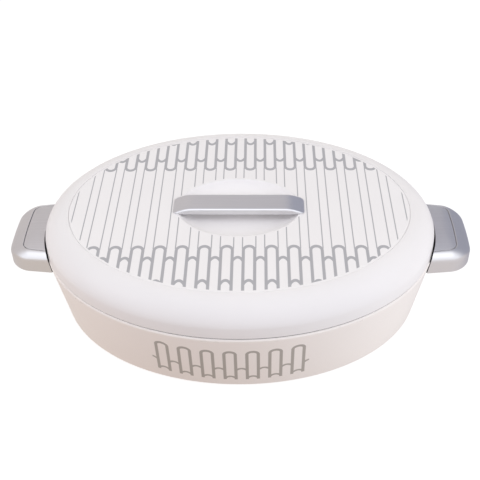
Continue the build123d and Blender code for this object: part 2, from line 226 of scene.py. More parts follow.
class Graph:
    """Adds nodes to a tree and wires them."""

    def __init__(self, tree: bpy.types.NodeTree) -> None:
        """Keeps the tree that the nodes go into."""
        self.tree = tree

    def node(self, kind: str, **settings: object) -> bpy.types.Node:
        """New node of a kind, with its settings.

        Args:
            kind: Blender's name for the kind of node.
            **settings: Settings of the node, by name.

        Returns:
            The new node.
        """
        made = self.tree.nodes.new(kind)
        for key, value in settings.items():
            setattr(made, key, value)
        return made

    def feed(self, socket: Socket, value: object) -> None:
        """Links a socket to the input, or sets the input's own value.

        Args:
            socket: Input to feed.
            value: Socket to link, or a plain value.
        """
        if isinstance(value, bpy.types.NodeSocket):
            self.tree.links.new(value, socket)
        else:
            socket.default_value = value

    def math(self, operation: str, *values: object) -> Socket:
        """Result of a math node.

        Args:
            operation: Blender's name for the operation.
            *values: Sockets or numbers, in the node's order.

        Returns:
            The result.
        """
        made = self.node("ShaderNodeMath", operation=operation)
        for socket, value in zip(made.inputs, values):
            self.feed(socket, value)
        return made.outputs[0]

    def plus(self, first: object, second: object) -> Socket:
        """Sum of two values."""
        return self.math("ADD", first, second)

    def minus(self, first: object, second: object) -> Socket:
        """First value less the second."""
        return self.math("SUBTRACT", first, second)

    def times(self, first: object, second: object) -> Socket:
        """Product of two values."""
        return self.math("MULTIPLY", first, second)

    def over(self, first: object, second: object) -> Socket:
        """First value divided by the second."""
        return self.math("DIVIDE", first, second)

    def square(self, value: object) -> Socket:
        """Value times itself."""
        return self.math("POWER", value, 2.0)

    def soft_step(self, value: Socket, low: float, high: float) -> Socket:
        """0 at low and 1 at high, smooth between and level beyond.

        Args:
            value: Value to test.
            low: Value at which the step is 0.
            high: Value at which it is 1.

        Returns:
            The step, from 0 to 1.
        """
        made = self.node("ShaderNodeMapRange", interpolation_type="SMOOTHSTEP")
        self.feed(made.inputs["Value"], value)
        self.feed(made.inputs["From Min"], low)
        self.feed(made.inputs["From Max"], high)
        return made.outputs["Result"]

    def spread(self, value: Socket, low: float, high: float) -> Socket:
        """Value from 0 to 1, spread from low to high.

        Args:
            value: Value from 0 to 1.
            low: Result at 0.
            high: Result at 1.

        Returns:
            The spread value.
        """
        made = self.node("ShaderNodeMapRange")
        self.feed(made.inputs["Value"], value)
        self.feed(made.inputs["To Min"], low)
        self.feed(made.inputs["To Max"], high)
        return made.outputs["Result"]

    def mix(self, share: Socket, first: object, second: object) -> Socket:
        """Colour between first and second.

        Args:
            share: 0 for the first colour and 1 for the second.
            first: First colour.
            second: Second colour.

        Returns:
            The mixed colour.
        """
        made = self.node("ShaderNodeMix", data_type="RGBA")
        self.feed(made.inputs[0], share)
        self.feed(made.inputs[6], first)
        self.feed(made.inputs[7], second)
        return made.outputs[2]

    def place(self) -> tuple[Socket, Socket, Socket]:
        """Object coordinates, one by one.

        Returns:
            The coordinates x, y and z, in metres.
        """
        split = self.node("ShaderNodeSeparateXYZ")
        self.feed(split.inputs[0], self.node("ShaderNodeTexCoord").outputs["Object"])
        return split.outputs[0], split.outputs[1], split.outputs[2]

    def vector(self, x: object, y: object, z: object) -> Socket:
        """Vector from three values.

        Args:
            x: First part.
            y: Second part.
            z: Third part.

        Returns:
            The vector.
        """
        made = self.node("ShaderNodeCombineXYZ")
        for socket, value in zip(made.inputs, (x, y, z)):
            self.feed(socket, value)
        return made.outputs[0]

    def noise(self, vector: Socket, scale: object, detail: float) -> Socket:
        """Noise of a scale at a vector.

        Args:
            vector: Place in the noise.
            scale: Scale of the noise.
            detail: Number of finer layers.

        Returns:
            The noise, from 0 to 1.
        """
        made = self.node("ShaderNodeTexNoise")
        self.feed(made.inputs["Vector"], vector)
        self.feed(made.inputs["Scale"], scale)
        self.feed(made.inputs["Detail"], detail)
        return made.outputs["Fac"]

    def group(self, tree: bpy.types.NodeTree, **values: object) -> bpy.types.Node:
        """Places a node group; underscores in a value's name stand for spaces.

        Args:
            tree: Node group to place.
            **values: Values of its inputs, by name.

        Returns:
            The placed node.
        """
        made = self.node("ShaderNodeGroup", node_tree=tree)
        for key, value in values.items():
            self.feed(made.inputs[key.replace("_", " ")], value)
        return made


def new_group(
    name: str, inputs: dict[str, str], outputs: dict[str, str]
) -> tuple[Graph, bpy.types.Node, bpy.types.Node]:
    """Empty shader node group.

    Args:
        name: Name of the group.
        inputs: Input names with their kinds, Float or Vector.
        outputs: Output names with their kinds.

    Returns:
        The group's graph, its input node and its output node.
    """
    tree = bpy.data.node_groups.new(name, "ShaderNodeTree")
    for side, sockets in (("INPUT", inputs), ("OUTPUT", outputs)):
        for label, kind in sockets.items():
            tree.interface.new_socket(name=label, in_out=side, socket_type="NodeSocket" + kind)
    graph = Graph(tree)
    return graph, graph.node("NodeGroupInput"), graph.node("NodeGroupOutput")


class Effects:
    """Node groups that several finishes share, each built once."""

    def __init__(self) -> None:
        """Builds the groups."""
        self.grain = self.build_grain()
        self.streaks = self.build_streaks()
        self.arches = self.build_arches()

    def build_grain(self) -> bpy.types.NodeTree:
        """Moulded grain: a slow cloud in tone and wear, and a fine pebble in height.

        Returns:
            The node group.
        """
        graph, given, result = new_group(
            "moulded_grain", {"Place": "Vector", "Grain": "Float"},
            {"Tone": "Float", "Wear": "Float", "Height": "Float"})
        # Scale and detail of each noise, and the stretch of the noise that is spread from 0 to 1.
        cloud_noise, cloud_stretch = (14.0, 3.0), (0.3, 0.7)
        smudge_noise, smudge_stretch = (55.0, 4.0), (0.3, 0.72)
        cloud = graph.noise(given.outputs["Place"], *cloud_noise)
        smudge = graph.noise(given.outputs["Place"], *smudge_noise)
        pebble = graph.noise(given.outputs["Place"], given.outputs["Grain"], 2.0)
        graph.feed(result.inputs["Tone"], graph.soft_step(cloud, *cloud_stretch))
        graph.feed(result.inputs["Wear"], graph.soft_step(smudge, *smudge_stretch))
        graph.feed(result.inputs["Height"], pebble)
        return graph.tree

    def build_streaks(self) -> bpy.types.NodeTree:
        """Brush marks: noise on a place that is already drawn out along the stroke, in two finenesses.

        Returns:
            The node group.
        """
        graph, given, result = new_group(
            "brush_streaks", {"Place": "Vector"}, {"Tone": "Float", "Height": "Float"})
        # Scale and detail of each noise, their shares, and the stretch that is spread from 0 to 1.
        broad_noise, fine_noise = (0.35, 2.0), (1.0, 2.0)
        broad_share, fine_share, stretch = 0.4, 0.6, (0.32, 0.68)
        broad = graph.noise(given.outputs["Place"], *broad_noise)
        fine = graph.noise(given.outputs["Place"], *fine_noise)
        both = graph.math("MULTIPLY_ADD", fine, fine_share, graph.times(broad, broad_share))
        graph.feed(result.inputs["Tone"], graph.soft_step(both, *stretch))
        graph.feed(result.inputs["Height"], fine)
        return graph.tree

    def build_arches(self) -> bpy.types.NodeTree:
        """Row of round-ended arches with two rows of small arcs, as a mask from 0 to 1.

        With c the distance from the nearest arch's middle and q the distance past the springing, a point is
        in the arch where c and q lie inside the outer oval and outside the inner one. A small arc lies
        between two parabolas, height + bend m^2 and height + line + inner bend m^2, with m the distance
        from the arc's middle.

        Returns:
            The node group.
        """
        names = ["Across", "Along", *(size.name.capitalize().replace("_", " ") for size in fields(ArchRow))]
        graph, given, result = new_group("arch_print", dict.fromkeys(names, "Float"), {"Mask": "Float"})
        value = given.outputs
        # In millimetres: the soft edge, the sizes that the ovals' shares stand for, and an arc's half length.
        soft, outer_size, inner_size, arc_reach = 0.2, 5.6, 3.0, 4.6

        def inside(distance: Socket) -> Socket:
            """1 where the distance is positive, with a soft edge."""
            return graph.soft_step(distance, -soft, soft)

        def oval(half: object, rise: object) -> Socket:
            """Size of the oval through the point, as a share of the oval with this half width and rise."""
            across, along = graph.square(graph.over(c, half)), graph.square(graph.over(q, rise))
            return graph.math("SQRT", graph.plus(across, along))

        def arc(middle: Socket, height: Socket) -> Socket:
            """Small arc about a middle line, from leg to leg.

            Args:
                middle: Distance from the arc's middle.
                height: Height of the arc at its middle.

            Returns:
                The mask, from 0 to 1.
            """
            square = graph.square(middle)
            past = graph.minus(value["Along"], height)
            below = graph.minus(past, graph.times(square, value["Bend"]))
            foot = graph.math("MULTIPLY_ADD", square, value["Inner bend"], value["Arc line"])
            line = graph.times(inside(below), inside(graph.minus(foot, past)))
            return graph.times(line, inside(graph.minus(arc_reach, middle)))

        pitch = value["Pitch"]
        share = graph.math("FRACT", graph.over(value["Across"], pitch))
        c = graph.times(graph.math("ABSOLUTE", graph.minus(share, 0.5)), pitch)
        g = graph.minus(graph.times(pitch, 0.5), c)
        q = graph.math("MAXIMUM", graph.minus(value["Springing"], value["Along"]), 0.0)
        inner_half = graph.minus(value["Half"], value["Leg line"])
        inner_rise = graph.minus(value["Rise"], value["Cap line"])
        in_outer = inside(graph.times(graph.minus(1.0, oval(value["Half"], value["Rise"])), outer_size))
        out_inner = inside(graph.times(graph.minus(oval(inner_half, inner_rise), 1.0), inner_size))
        before_end = inside(graph.minus(value["Leg ends"], value["Along"]))
        arch = graph.times(graph.times(in_outer, out_inner), before_end)
        arcs = graph.math("MAXIMUM", arc(g, value["Links"]), arc(c, value["Inner arcs"]))
        graph.feed(result.inputs["Mask"], graph.math("MAXIMUM", arch, arcs))
        return graph.tree


def new_material(name: str) -> tuple[bpy.types.Material, Graph, bpy.types.Node]:
    """Material with a bare Principled shader.

    Args:
        name: Name of the material.

    Returns:
        The material, its graph and its shader node.
    """
    material = bpy.data.materials.new(name)
    material.use_nodes = True
    graph = Graph(material.node_tree)
    return material, graph, material.node_tree.nodes["Principled BSDF"]


def rgba(colour: Colour, gain: float = 1.0) -> tuple[float, float, float, float]:
    """Colour with full alpha, made lighter or darker by gain."""
    return (*(min(1.0, part * gain) for part in colour), 1.0)


def feed_surface(
    graph: Graph, shader: bpy.types.Node, colour: Socket, rough: Socket, height: Socket, depth: float,
    strength: float,
) -> None:
    """Feeds a shader its colour, its roughness and a bump.

    Args:
        graph: Graph of the material.
        shader: Principled shader.
        colour: Colour over the surface.
        rough: Roughness over the surface.
        height: Height of the bump, from 0 to 1.
        depth: Depth of the bump in metres.
        strength: Strength of the bump.
    """
    bump = graph.node("ShaderNodeBump")
    bump.inputs["Strength"].default_value = strength
    bump.inputs["Distance"].default_value = depth
    graph.feed(bump.inputs["Height"], height)
    graph.feed(shader.inputs["Base Color"], colour)
    graph.feed(shader.inputs["Roughness"], rough)
    graph.feed(shader.inputs["Normal"], bump.outputs["Normal"])


@dataclass(frozen=True)
class MouldedFinish:
    """Moulded plastic, rubber or foam with a soft cloud of tone and a fine grain.

    Attributes:
        name: Name of the material.
        colour: Colour of the moulding.
        roughness: Middle of its roughness.
        grain: Fineness of the grain; higher is finer.
        depth: Depth of the grain in metres.
        variation: Share by which the tone varies.
        specular: Level of the plain reflection.
        wear: Least and greatest roughness, as shares of its middle.
        bump: Strength of the grain.
        printed: Line print on the moulding, if it has one.
        ink: Colour of the print.
        ink_rough: How much rougher the print is.
        well_painted_light_gain: How much lighter the plain well of the printed lid is painted, as painted
            light against the shade under the bar.
    """

    name: str
    colour: Colour
    roughness: float
    grain: float = 900.0
    depth: float = 0.00002
    variation: float = 0.008
    specular: float = 0.5
    wear: tuple[float, float] = (0.97, 1.04)
    bump: float = 0.5
    printed: Print | None = None
    ink: Colour = (0.4, 0.4, 0.42)
    ink_rough: float = 0.08
    well_painted_light_gain: float = 1.035

    def build(self, effects: Effects) -> bpy.types.Material:
        """Material of this finish.

        Args:
            effects: Shared node groups.

        Returns:
            The material.
        """
        material, graph, shader = new_material(self.name)
        place = graph.node("ShaderNodeTexCoord").outputs["Object"]
        grain = graph.group(effects.grain, Place=place, Grain=self.grain)
        darker, lighter = rgba(self.colour, 1 - self.variation), rgba(self.colour, 1 + self.variation)
        colour = graph.mix(grain.outputs["Tone"], darker, lighter)
        least, most = self.wear
        rough = graph.spread(grain.outputs["Wear"], self.roughness * least, self.roughness * most)
        if self.printed is Print.LID:
            # Painted light: the plain finger well is painted lighter to offset the shade that falls under the
            # bar.
            colour = graph.mix(LidPrint().well(graph), colour, rgba(self.colour, self.well_painted_light_gain))
        if self.printed is not None:
            mask = self.print_mask(graph, effects)
            colour = graph.mix(mask, colour, rgba(self.ink))
            rough = graph.math("MULTIPLY_ADD", mask, self.ink_rough, rough)
        feed_surface(graph, shader, colour, rough, grain.outputs["Height"], self.depth, self.bump)
        shader.inputs["Specular IOR Level"].default_value = self.specular
        return material

    def print_mask(self, graph: Graph, effects: Effects) -> Socket:
        """Mask of this finish's line print.

        Args:
            graph: Graph that the nodes go into.
            effects: Shared node groups.

        Returns:
            The mask, from 0 to 1.
        """
        if self.printed is Print.LID:
            return LidPrint().mask(graph, effects)
        return WallPrint().mask(graph, effects)


@dataclass(frozen=True)
class ArchRow:
    """Sizes of a row of arches; across and along are the distances on the surface that the row is drawn in.

    Attributes:
        pitch: Step from arch to arch.
        half: Half width of an arch.
        springing: Where along the legs the round caps start.
        rise: Rise of the caps.
        links: Where the arcs between the arches start.
        inner_arcs: Where the arcs inside the arches start.
        leg_ends: Where the legs end.
        leg_line: Width of the legs' lines.
        cap_line: Width of the caps' lines.
        arc_line: Width of the small arcs' lines.
        bend: Bend of the near side of a small arc.
        inner_bend: Bend of its far side.
    """

    pitch: float
    half: float
    springing: float
    rise: float
    links: float
    inner_arcs: float
    leg_ends: float
    leg_line: float
    cap_line: float
    arc_line: float
    bend: float
    inner_bend: float

    def arches(self, graph: Graph, effects: Effects, across: Socket, along: Socket) -> Socket:
        """Mask of the row at a place across and along it.

        Args:
            graph: Graph that the nodes go into.
            effects: Shared node groups.
            across: Distance across the arches.
            along: Distance along their legs.

        Returns:
            The mask, from 0 to 1.
        """
        own = asdict(self)
        sizes = {size.name.capitalize(): own[size.name] for size in fields(ArchRow)}
        return graph.group(effects.arches, Across=across, Along=along, **sizes).outputs["Mask"]


@dataclass(frozen=True)
class LidPrint(ArchRow):
    """Stripes over the lid's panel that end in rows of arches at the front and the back."""

    pitch: float = 19.23
    half: float = 6.19
    springing: float = 62.3
    rise: float = 7.2
    links: float = 69.64
    inner_arcs: float = 98.6
    leg_ends: float = 113.0
    leg_line: float = 2.62
    cap_line: float = 3.5
    arc_line: float = 3.4
    bend: float = 0.16
    inner_bend: float = 0.32
    turn: float = 0.005
    shift: float = 0.3
    row_middle: float = 0.95
    row_turn: float = 0.0081
    row_bow: float = 0.000064
    stripe_offset: float = 5.795
    stripe_width: float = 0.98
    stripe_soft: float = 0.15
    stripe_overlap: float = 0.3
    end_soft: float = 0.3
    edge_half_length: float = 152.8
    edge_half_width: float = 111.8
    clear_half_length: float = 57.5
    clear_half_width: float = 44.0
    well_half_length: float = 56.0
    well_half_width: float = 41.75
    oval_soft: float = 0.25

    def mask(self, graph: Graph, effects: Effects) -> Socket:
        """Mask from the panel's plan: arches, and stripes between them, inside the edge and outside the well.

        The rows lie along y = middle + turn x - bow x^2, and the distance from that line counts as along.

        Args:
            graph: Graph that the nodes go into.
            effects: Shared node groups.

        Returns:
            The mask, from 0 to 1.
        """
        x, y = self.plan_place(graph)
        across = graph.minus(graph.math("MULTIPLY_ADD", y, self.turn, x), self.shift)
        line = graph.times(graph.math("MULTIPLY_ADD", x, -self.row_bow, self.row_turn), x)
        along = graph.math("ABSOLUTE", graph.minus(graph.minus(y, self.row_middle), line))
        share = graph.math("FRACT", graph.over(across, self.pitch))
        c = graph.times(graph.math("ABSOLUTE", graph.minus(share, 0.5)), self.pitch)
        away = graph.math("ABSOLUTE", graph.minus(c, self.stripe_offset))
        half = self.stripe_width / 2
        end = self.springing - self.stripe_overlap * self.rise
        stripe = graph.soft_step(away, half + self.stripe_soft, half - self.stripe_soft)
        stripe = graph.times(stripe, graph.soft_step(along, end + self.end_soft, end - self.end_soft))
        clear = self.outside_oval(graph, x, y, self.clear_half_length, self.clear_half_width)
        arches = self.arches(graph, effects, across, along)
        both = graph.math("MAXIMUM", arches, graph.times(stripe, clear))
        edge = self.outside_oval(graph, x, y, self.edge_half_length, self.edge_half_width)
        return graph.times(both, graph.minus(1.0, edge))

    def plan_place(self, graph: Graph) -> tuple[Socket, Socket]:
        """Place on the panel's plan in millimetres."""
        x, y, _ = graph.place()
        return graph.over(x, MM), graph.over(y, MM)

    def well(self, graph: Graph) -> Socket:
        """1 in the plain finger well, which is painted lighter as painted light against the shade under the
        bar, and 0 on the printed flat.
        """
        x, y = self.plan_place(graph)
        return graph.minus(1.0, self.outside_oval(graph, x, y, self.well_half_length, self.well_half_width))

    def outside_oval(
        self, graph: Graph, x: Socket, y: Socket, half_length: float, half_width: float
    ) -> Socket:
        """1 outside an oval and 0 inside it.

        Args:
            graph: Graph that the nodes go into.
            x: Place along the oval's length.
            y: Place along its width.
            half_length: Half the oval's length.
            half_width: Half its width.

        Returns:
            The mask, from 0 to 1.
        """
        length, width = graph.square(graph.over(x, half_length)), graph.square(graph.over(y, half_width))
        soft = self.oval_soft / half_width
        return graph.soft_step(graph.math("SQRT", graph.plus(length, width)), 1 - soft, 1 + soft)


@dataclass(frozen=True)
class WallPrint(ArchRow):
    """Seven arches on the front of the wall, linked by thin arcs."""

    pitch: float = 19.17
    half: float = 6.1
    springing: float = 22.8
    rise: float = 5.2
    links: float = 42.8
    inner_arcs: float = 55.2
    leg_ends: float = 61.0
    leg_line: float = 2.7
    cap_line: float = 2.9
    arc_line: float = 2.2
    bend: float = 0.09
    inner_bend: float = 0.16
    count: int = 7
    middle: float = -5.6
    seam: float = 72.5
    bow: float = 0.00074
    end_soft: float = 0.3
    front_depth: float = 0.01

    def mask(self, graph: Graph, effects: Effects) -> Socket:
        """Mask from the wall's front view: the row bows up by bow times side^2.

        Args:
            graph: Graph that the nodes go into.
            effects: Shared node groups.

        Returns:
            The mask, from 0 to 1.
        """
        x, y, z = graph.place()
        side = graph.minus(graph.times(x, 1 / MM), self.middle)
        drop = graph.minus(self.seam, graph.times(z, 1 / MM))
        along = graph.math("MULTIPLY_ADD", graph.square(side), self.bow, drop)
        arches = self.arches(graph, effects, graph.plus(side, self.pitch / 2), along)
        reach = self.count * self.pitch / 2
        within = graph.soft_step(graph.math("ABSOLUTE", side), reach + self.end_soft, reach - self.end_soft)
        front = graph.soft_step(y, 0.0, -self.front_depth)
        return graph.times(arches, graph.times(within, front))


@dataclass(frozen=True)
class MetalFinish:
    """Satin metal or metal plating, brushed or blasted.

    Attributes:
        name: Name of the material.
        colour: Colour of the metal.
        roughness: Middle of its roughness.
        brushing: Direction of its brush marks.
        variation: Share by which the tone varies.
        depth: Depth of the marks in metres.
        bump: Strength of the marks.
        grain: Fineness of the blasting where it isn't brushed.
        wear: Greatest and least roughness, as shares of its middle.
        long_marks: How slowly and how fast lengthwise marks change along X and across it.
        ring_marks: How slowly and how fast marks round the pot change along them and across them.
        oval_ratio: Length of the pot's oval by its width.
    """

    name: str
    colour: Colour
    roughness: float
    brushing: Brushing = Brushing.NONE
    variation: float = 0.05
    depth: float = 0.00001
    bump: float = 0.4
    grain: float = 2600.0
    wear: tuple[float, float] = (1.1, 0.92)
    long_marks: tuple[float, float] = (40.0, 4000.0)
    ring_marks: tuple[float, float] = (25.0, 3000.0)
    oval_ratio: float = 1.31

    def stroke_place(self, graph: Graph) -> Socket:
        """Object coordinates drawn out along the brush marks.

        Marks round the pot follow the lines of even sqrt(x^2 + (ratio y)^2) + z.

        Args:
            graph: Graph that the nodes go into.

        Returns:
            The drawn-out place.
        """
        x, y, z = graph.place()
        if self.brushing is Brushing.LENGTHWISE:
            slow, fast = self.long_marks
            return graph.vector(graph.times(x, slow), graph.times(y, fast), graph.times(z, fast))
        slow, fast = self.ring_marks
        squares = graph.plus(graph.square(x), graph.square(graph.times(y, self.oval_ratio)))
        line = graph.times(graph.plus(graph.math("SQRT", squares), z), fast)
        return graph.vector(graph.times(x, slow), graph.times(y, slow), line)

    def build(self, effects: Effects) -> bpy.types.Material:
        """Material of this finish.

        Args:
            effects: Shared node groups.

        Returns:
            The material.
        """
        material, graph, shader = new_material(self.name)
        if self.brushing is Brushing.NONE:
            place = graph.node("ShaderNodeTexCoord").outputs["Object"]
            marks = graph.group(effects.grain, Place=place, Grain=self.grain)
        else:
            marks = graph.group(effects.streaks, Place=self.stroke_place(graph))
        tone = marks.outputs["Tone"]
        colour = graph.mix(tone, rgba(self.colour, 1 - self.variation), rgba(self.colour, 1 + self.variation))
        most, least = self.wear
        rough = graph.spread(tone, self.roughness * most, self.roughness * least)
        feed_surface(graph, shader, colour, rough, marks.outputs["Height"], self.depth, self.bump)
        shader.inputs["Metallic"].default_value = 1.0
        return material


WHITE = (0.845, 0.815, 0.82)
WARM_WHITE = (0.866, 0.81, 0.785)
INK = (0.41, 0.402, 0.423)

FINISHES = {
    "white_body": MouldedFinish("white_wall", WARM_WHITE, 0.3, printed=Print.WALL, ink=(0.4, 0.37, 0.345)),
    "white_rim": MouldedFinish("white_rim", WARM_WHITE, 0.28),
    "white_lid": MouldedFinish("white_lid", (0.817, 0.787, 0.793), 0.3, specular=0.2),
    "white_panel": MouldedFinish("white_panel", WHITE, 0.38, printed=Print.LID, ink=INK),
    "white_base": MouldedFinish("white_base", (0.8, 0.79, 0.78), 0.45, grain=700.0, depth=0.00006),
    "liner_steel": MetalFinish("liner_steel", (0.62, 0.61, 0.6), 0.28, Brushing.AROUND, variation=0.08),
    "foam": MouldedFinish(
        "foam", (0.78, 0.7, 0.5), 0.9, grain=420.0, depth=0.0004, variation=0.12, specular=0.2),
    "screw_steel": MetalFinish("screw_steel", (0.55, 0.55, 0.56), 0.32),
    # Black rubber of the feet; the same finish dresses the dark seam ring and the handles' dark strips, which
    # are painted shade.
    "foot_rubber": MouldedFinish(
        "foot_rubber", (0.045, 0.045, 0.048), 0.7, grain=1500.0, depth=0.00008, variation=0.2),
    "handle_silver": MetalFinish("handle_silver", (0.76, 0.75, 0.755), 0.3, variation=0.02),
    "inlay_grey": MetalFinish("inlay_satin", (0.74, 0.73, 0.74), 0.4, Brushing.LENGTHWISE, variation=0.03),
    "bar_silver": MetalFinish("bar_silver", (0.75, 0.75, 0.77), 0.36, Brushing.LENGTHWISE, variation=0.03),
    "seal_silicone": MouldedFinish("seal_silicone", (0.7, 0.7, 0.68), 0.5, grain=1200.0, variation=0.05),
}


class Finishes:
    """Materials by slot, each made once."""

    def __init__(self) -> None:
        """Makes every material of the object."""
        effects = Effects()
        self.made = {slot: finish.build(effects) for slot, finish in FINISHES.items()}

    def dress(self, thing: bpy.types.Object, slot: str) -> None:
        """Gives an object one material."""
        thing.data.materials.clear()
        thing.data.materials.append(self.made[slot])

    def dress_nodes(self, slots: dict[str, str]) -> None:
        """Gives nodes of the frame their materials.

        Args:
            slots: Name of the finish for each node.
        """
        for node, slot in slots.items():
            self.dress(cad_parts[node], slot)
            log.info("%s: frame node in %s", node, slot)


# Sub-assemblies


@dataclass(frozen=True)
class OvalPlan:
    """Plan of the seam, from which every oval is drawn in."""

    half_length: float = 180.0
    half_width: float = 139.0

    def ring(self, inset: float | Values, z: float | Values, count: int = AROUND) -> Values:
        """Points round the oval: ((a - inset) cos t, (b - inset) sin t, z).

        Args:
            inset: How far the points lie inside the plan's oval.
            z: Their height.
            count: Number of points.

        Returns:
            The points, n by 3.
        """
        turn = np.linspace(0, 2 * np.pi, count, endpoint=False)
        x = (self.half_length - inset) * np.cos(turn)
        y = (self.half_width - inset) * np.sin(turn)
        return np.column_stack([x, y, np.broadcast_to(z, count)])

    def sweep(self, profile: Values) -> Sheet:
        """Closed profile of insets and heights carried round the oval.

        Args:
            profile: Insets and heights, n by 2.

        Returns:
            The surface.
        """
        turn = np.linspace(0, 2 * np.pi, AROUND, endpoint=False)[:, None]
        x = (self.half_length - profile[:, 0]) * np.cos(turn)
        y = (self.half_width - profile[:, 0]) * np.sin(turn)
        z = np.broadcast_to(profile[:, 1], x.shape)
        return Sheet(np.stack([x, y, z], axis=-1), rows_close=True)


@dataclass
class PotBody:
    """Wall, rim collar and steel liner of the pot."""

    plan: OvalPlan
    base_z: float = 2.5
    seam_z: float = 72.5
    base_inset: float = 12.0
    wall: float = 2.5
    base_edge_radius: float = 1.5
    collar_height: float = 6.0
    rim_drop: float = 2.1
    rim_ledge: float = 5.4
    rim_radius: float = 3.0
    base_thickness: float = 3.0
    ledge_width: float = 13.0
    ledge_thickness: float = 3.0
    mouth_inset: float = 17.0
    lip_width: float = 6.0
    lip_rebate: float = 2.0
    liner_wall: float = 0.8
    liner_lean: float = 9.0
    liner_corner_radius: float = 14.0
    floor_insulation: float = 12.0
    tongue_depth: float = 5.0
    tongue_wall: float = 2.0
    fit: float = 0.3
    lug_width: float = 56.0
    lug_height: float = 8.0
    lug_z: float = 61.5
    lug_reach: tuple[float, float] = (174.0, 182.0)
    lug_radius: float = 1.5
    fine_edge: float = 0.3
    edge: float = 0.5
    ledge_fillet: float = 2.0
    rim_slope: float = 0.5
    rim_fillet: float = 0.4
    lip_radius: float = 1.2
    floor_hole: float = 1.0
    corner_steps: int = 10
    pieces: dict[str, bpy.types.Object] = field(default_factory=dict)

    def wall_inset(self, z: float) -> float:
        """Inset of the leaning wall at height z."""
        return self.base_inset * (self.seam_z - z) / (self.seam_z - self.base_z)

    def wall_sheet(self) -> Sheet:
        """Wall with a rounded bottom edge and the ledge that the base is screwed to.

        Returns:
            The surface.
        """
        top = self.seam_z - self.collar_height
        cover_top = self.base_z + self.base_thickness
        ledge_top = cover_top + self.ledge_thickness
        ledge_inset = self.wall_inset(cover_top) + self.wall + self.ledge_width
        corners = [
            (self.base_inset, self.base_z), (self.wall_inset(top), top),
            (self.wall_inset(top) + self.wall, top), (self.wall_inset(ledge_top) + self.wall, ledge_top),
            (ledge_inset, ledge_top), (ledge_inset, cover_top),
            (self.wall_inset(cover_top) + self.wall, cover_top), (self.base_inset + self.wall, self.base_z),
        ]
        fine, edge = self.fine_edge, self.edge
        radii = [self.base_edge_radius, 0, fine, self.ledge_fillet, edge, edge, fine, fine]
        return self.plan.sweep(rounded(corners, radii))

    def lug_sheets(self) -> list[Sheet]:
        """Blocks at both ends that the handles are screwed to: a rounded oblong drawn out along X.

        Returns:
            The surfaces of both blocks.
        """
        half, rise = self.lug_width / 2, self.lug_height / 2
        corners = [(-half, -rise), (half, -rise), (half, rise), (-half, rise)]
        y, z = rounded(corners, [self.lug_radius] * 4).T
        ends = [np.column_stack([np.full_like(y, x), y, z + self.lug_z]) for x in self.lug_reach]
        return [skin([end * (side, side, 1) for end in ends]) for side in (1, -1)]

    def collar_sheet(self) -> Sheet:
        """Rim with a soft ledge under the skirt, a step for the liner's lip and a tongue in the wall.

        Returns:
            The surface.
        """
        low = self.seam_z - self.collar_height
        tongue_z = low - self.tongue_depth
        tongue = self.wall_inset(tongue_z) + self.wall + self.fit
        bore = self.mouth_inset - self.fit
        step = bore - self.lip_width
        lip_z = self.seam_z - self.lip_rebate
        ledge_z = self.seam_z - self.rim_drop
        corners = [
            (self.wall_inset(low), low), (tongue, low), (tongue, tongue_z),
            (tongue + self.tongue_wall, tongue_z), (tongue + self.tongue_wall, low), (bore, low),
            (bore, lip_z), (step, lip_z), (step, self.seam_z), (self.rim_ledge, self.seam_z),
            (self.rim_ledge - self.rim_slope, ledge_z), (self.wall_inset(ledge_z), ledge_z),
        ]
        fine, edge = self.fine_edge, self.edge
        radii = [0, 0, fine, fine, 0, edge, fine, 0, edge, edge, self.rim_fillet, self.rim_radius]
        return self.plan.sweep(rounded(corners, radii, self.corner_steps))

    def liner_sheet(self) -> Sheet:
        """Steel bowl: stacked ovals down the inside, over the round corner to the floor, and back outside.

        Returns:
            The surface.
        """
        lip_z = self.seam_z - self.lip_rebate
        top = lip_z + self.liner_wall
        floor = self.base_z + self.base_thickness + self.floor_insulation
        slope = self.liner_lean / (lip_z - floor)
        middle = self.plan.half_width - self.floor_hole

        def side(extra: float, z: float) -> tuple[float, float]:
            """Point of the bowl's side, moved in by extra."""
            return self.mouth_inset + extra + slope * (lip_z - z), z

        wall = self.liner_wall
        lip = self.mouth_inset - self.lip_width
        corners = [
            (lip, lip_z), side(0, lip_z), side(0, floor), (middle, floor), (middle, floor + wall),
            side(wall, floor + wall), side(wall, top), (lip, top),
        ]
        radius, fine = self.liner_corner_radius, self.fine_edge
        radii = [fine, fine, radius, 0, 0, radius - wall, self.lip_radius, fine]
        loop = rounded(corners, radii, self.corner_steps)
        start = int(np.argmin(np.hypot(loop[:, 0] - middle, loop[:, 1] - floor - wall)))
        loop = np.roll(loop, -start, axis=0)
        return skin([self.plan.ring(inset, z) for inset, z in loop])

    def build(self) -> None:
        """Makes the wall, the collar and the liner."""
        for finish, name, sheets, slot, node in (
            ("white_body", "pot_wall", [self.wall_sheet(), *self.lug_sheets()], "white_body", "outer_shell"),
            ("white_rim", "pot_rim", [self.collar_sheet()], "white_body", "rim_collar"),
            ("liner_steel", "steel_bowl", [self.liner_sheet()], "liner_steel", "inner_liner"),
        ):
            self.pieces[finish] = make_piece(name, sheets, Body.POT, [node])

    def dress(self, finishes: Finishes) -> None:
        """Gives the body's pieces and nodes their finishes.

        Args:
            finishes: Finishes of the whole part.
        """
        for slot, piece in self.pieces.items():
            finishes.dress(piece, slot)
        finishes.dress_nodes({
            "body_insulation": "foam", "base_cover": "white_base", "base_screws": "screw_steel",
            "foam_fill_plug": "white_base", "rubber_feet": "foot_rubber",
        })


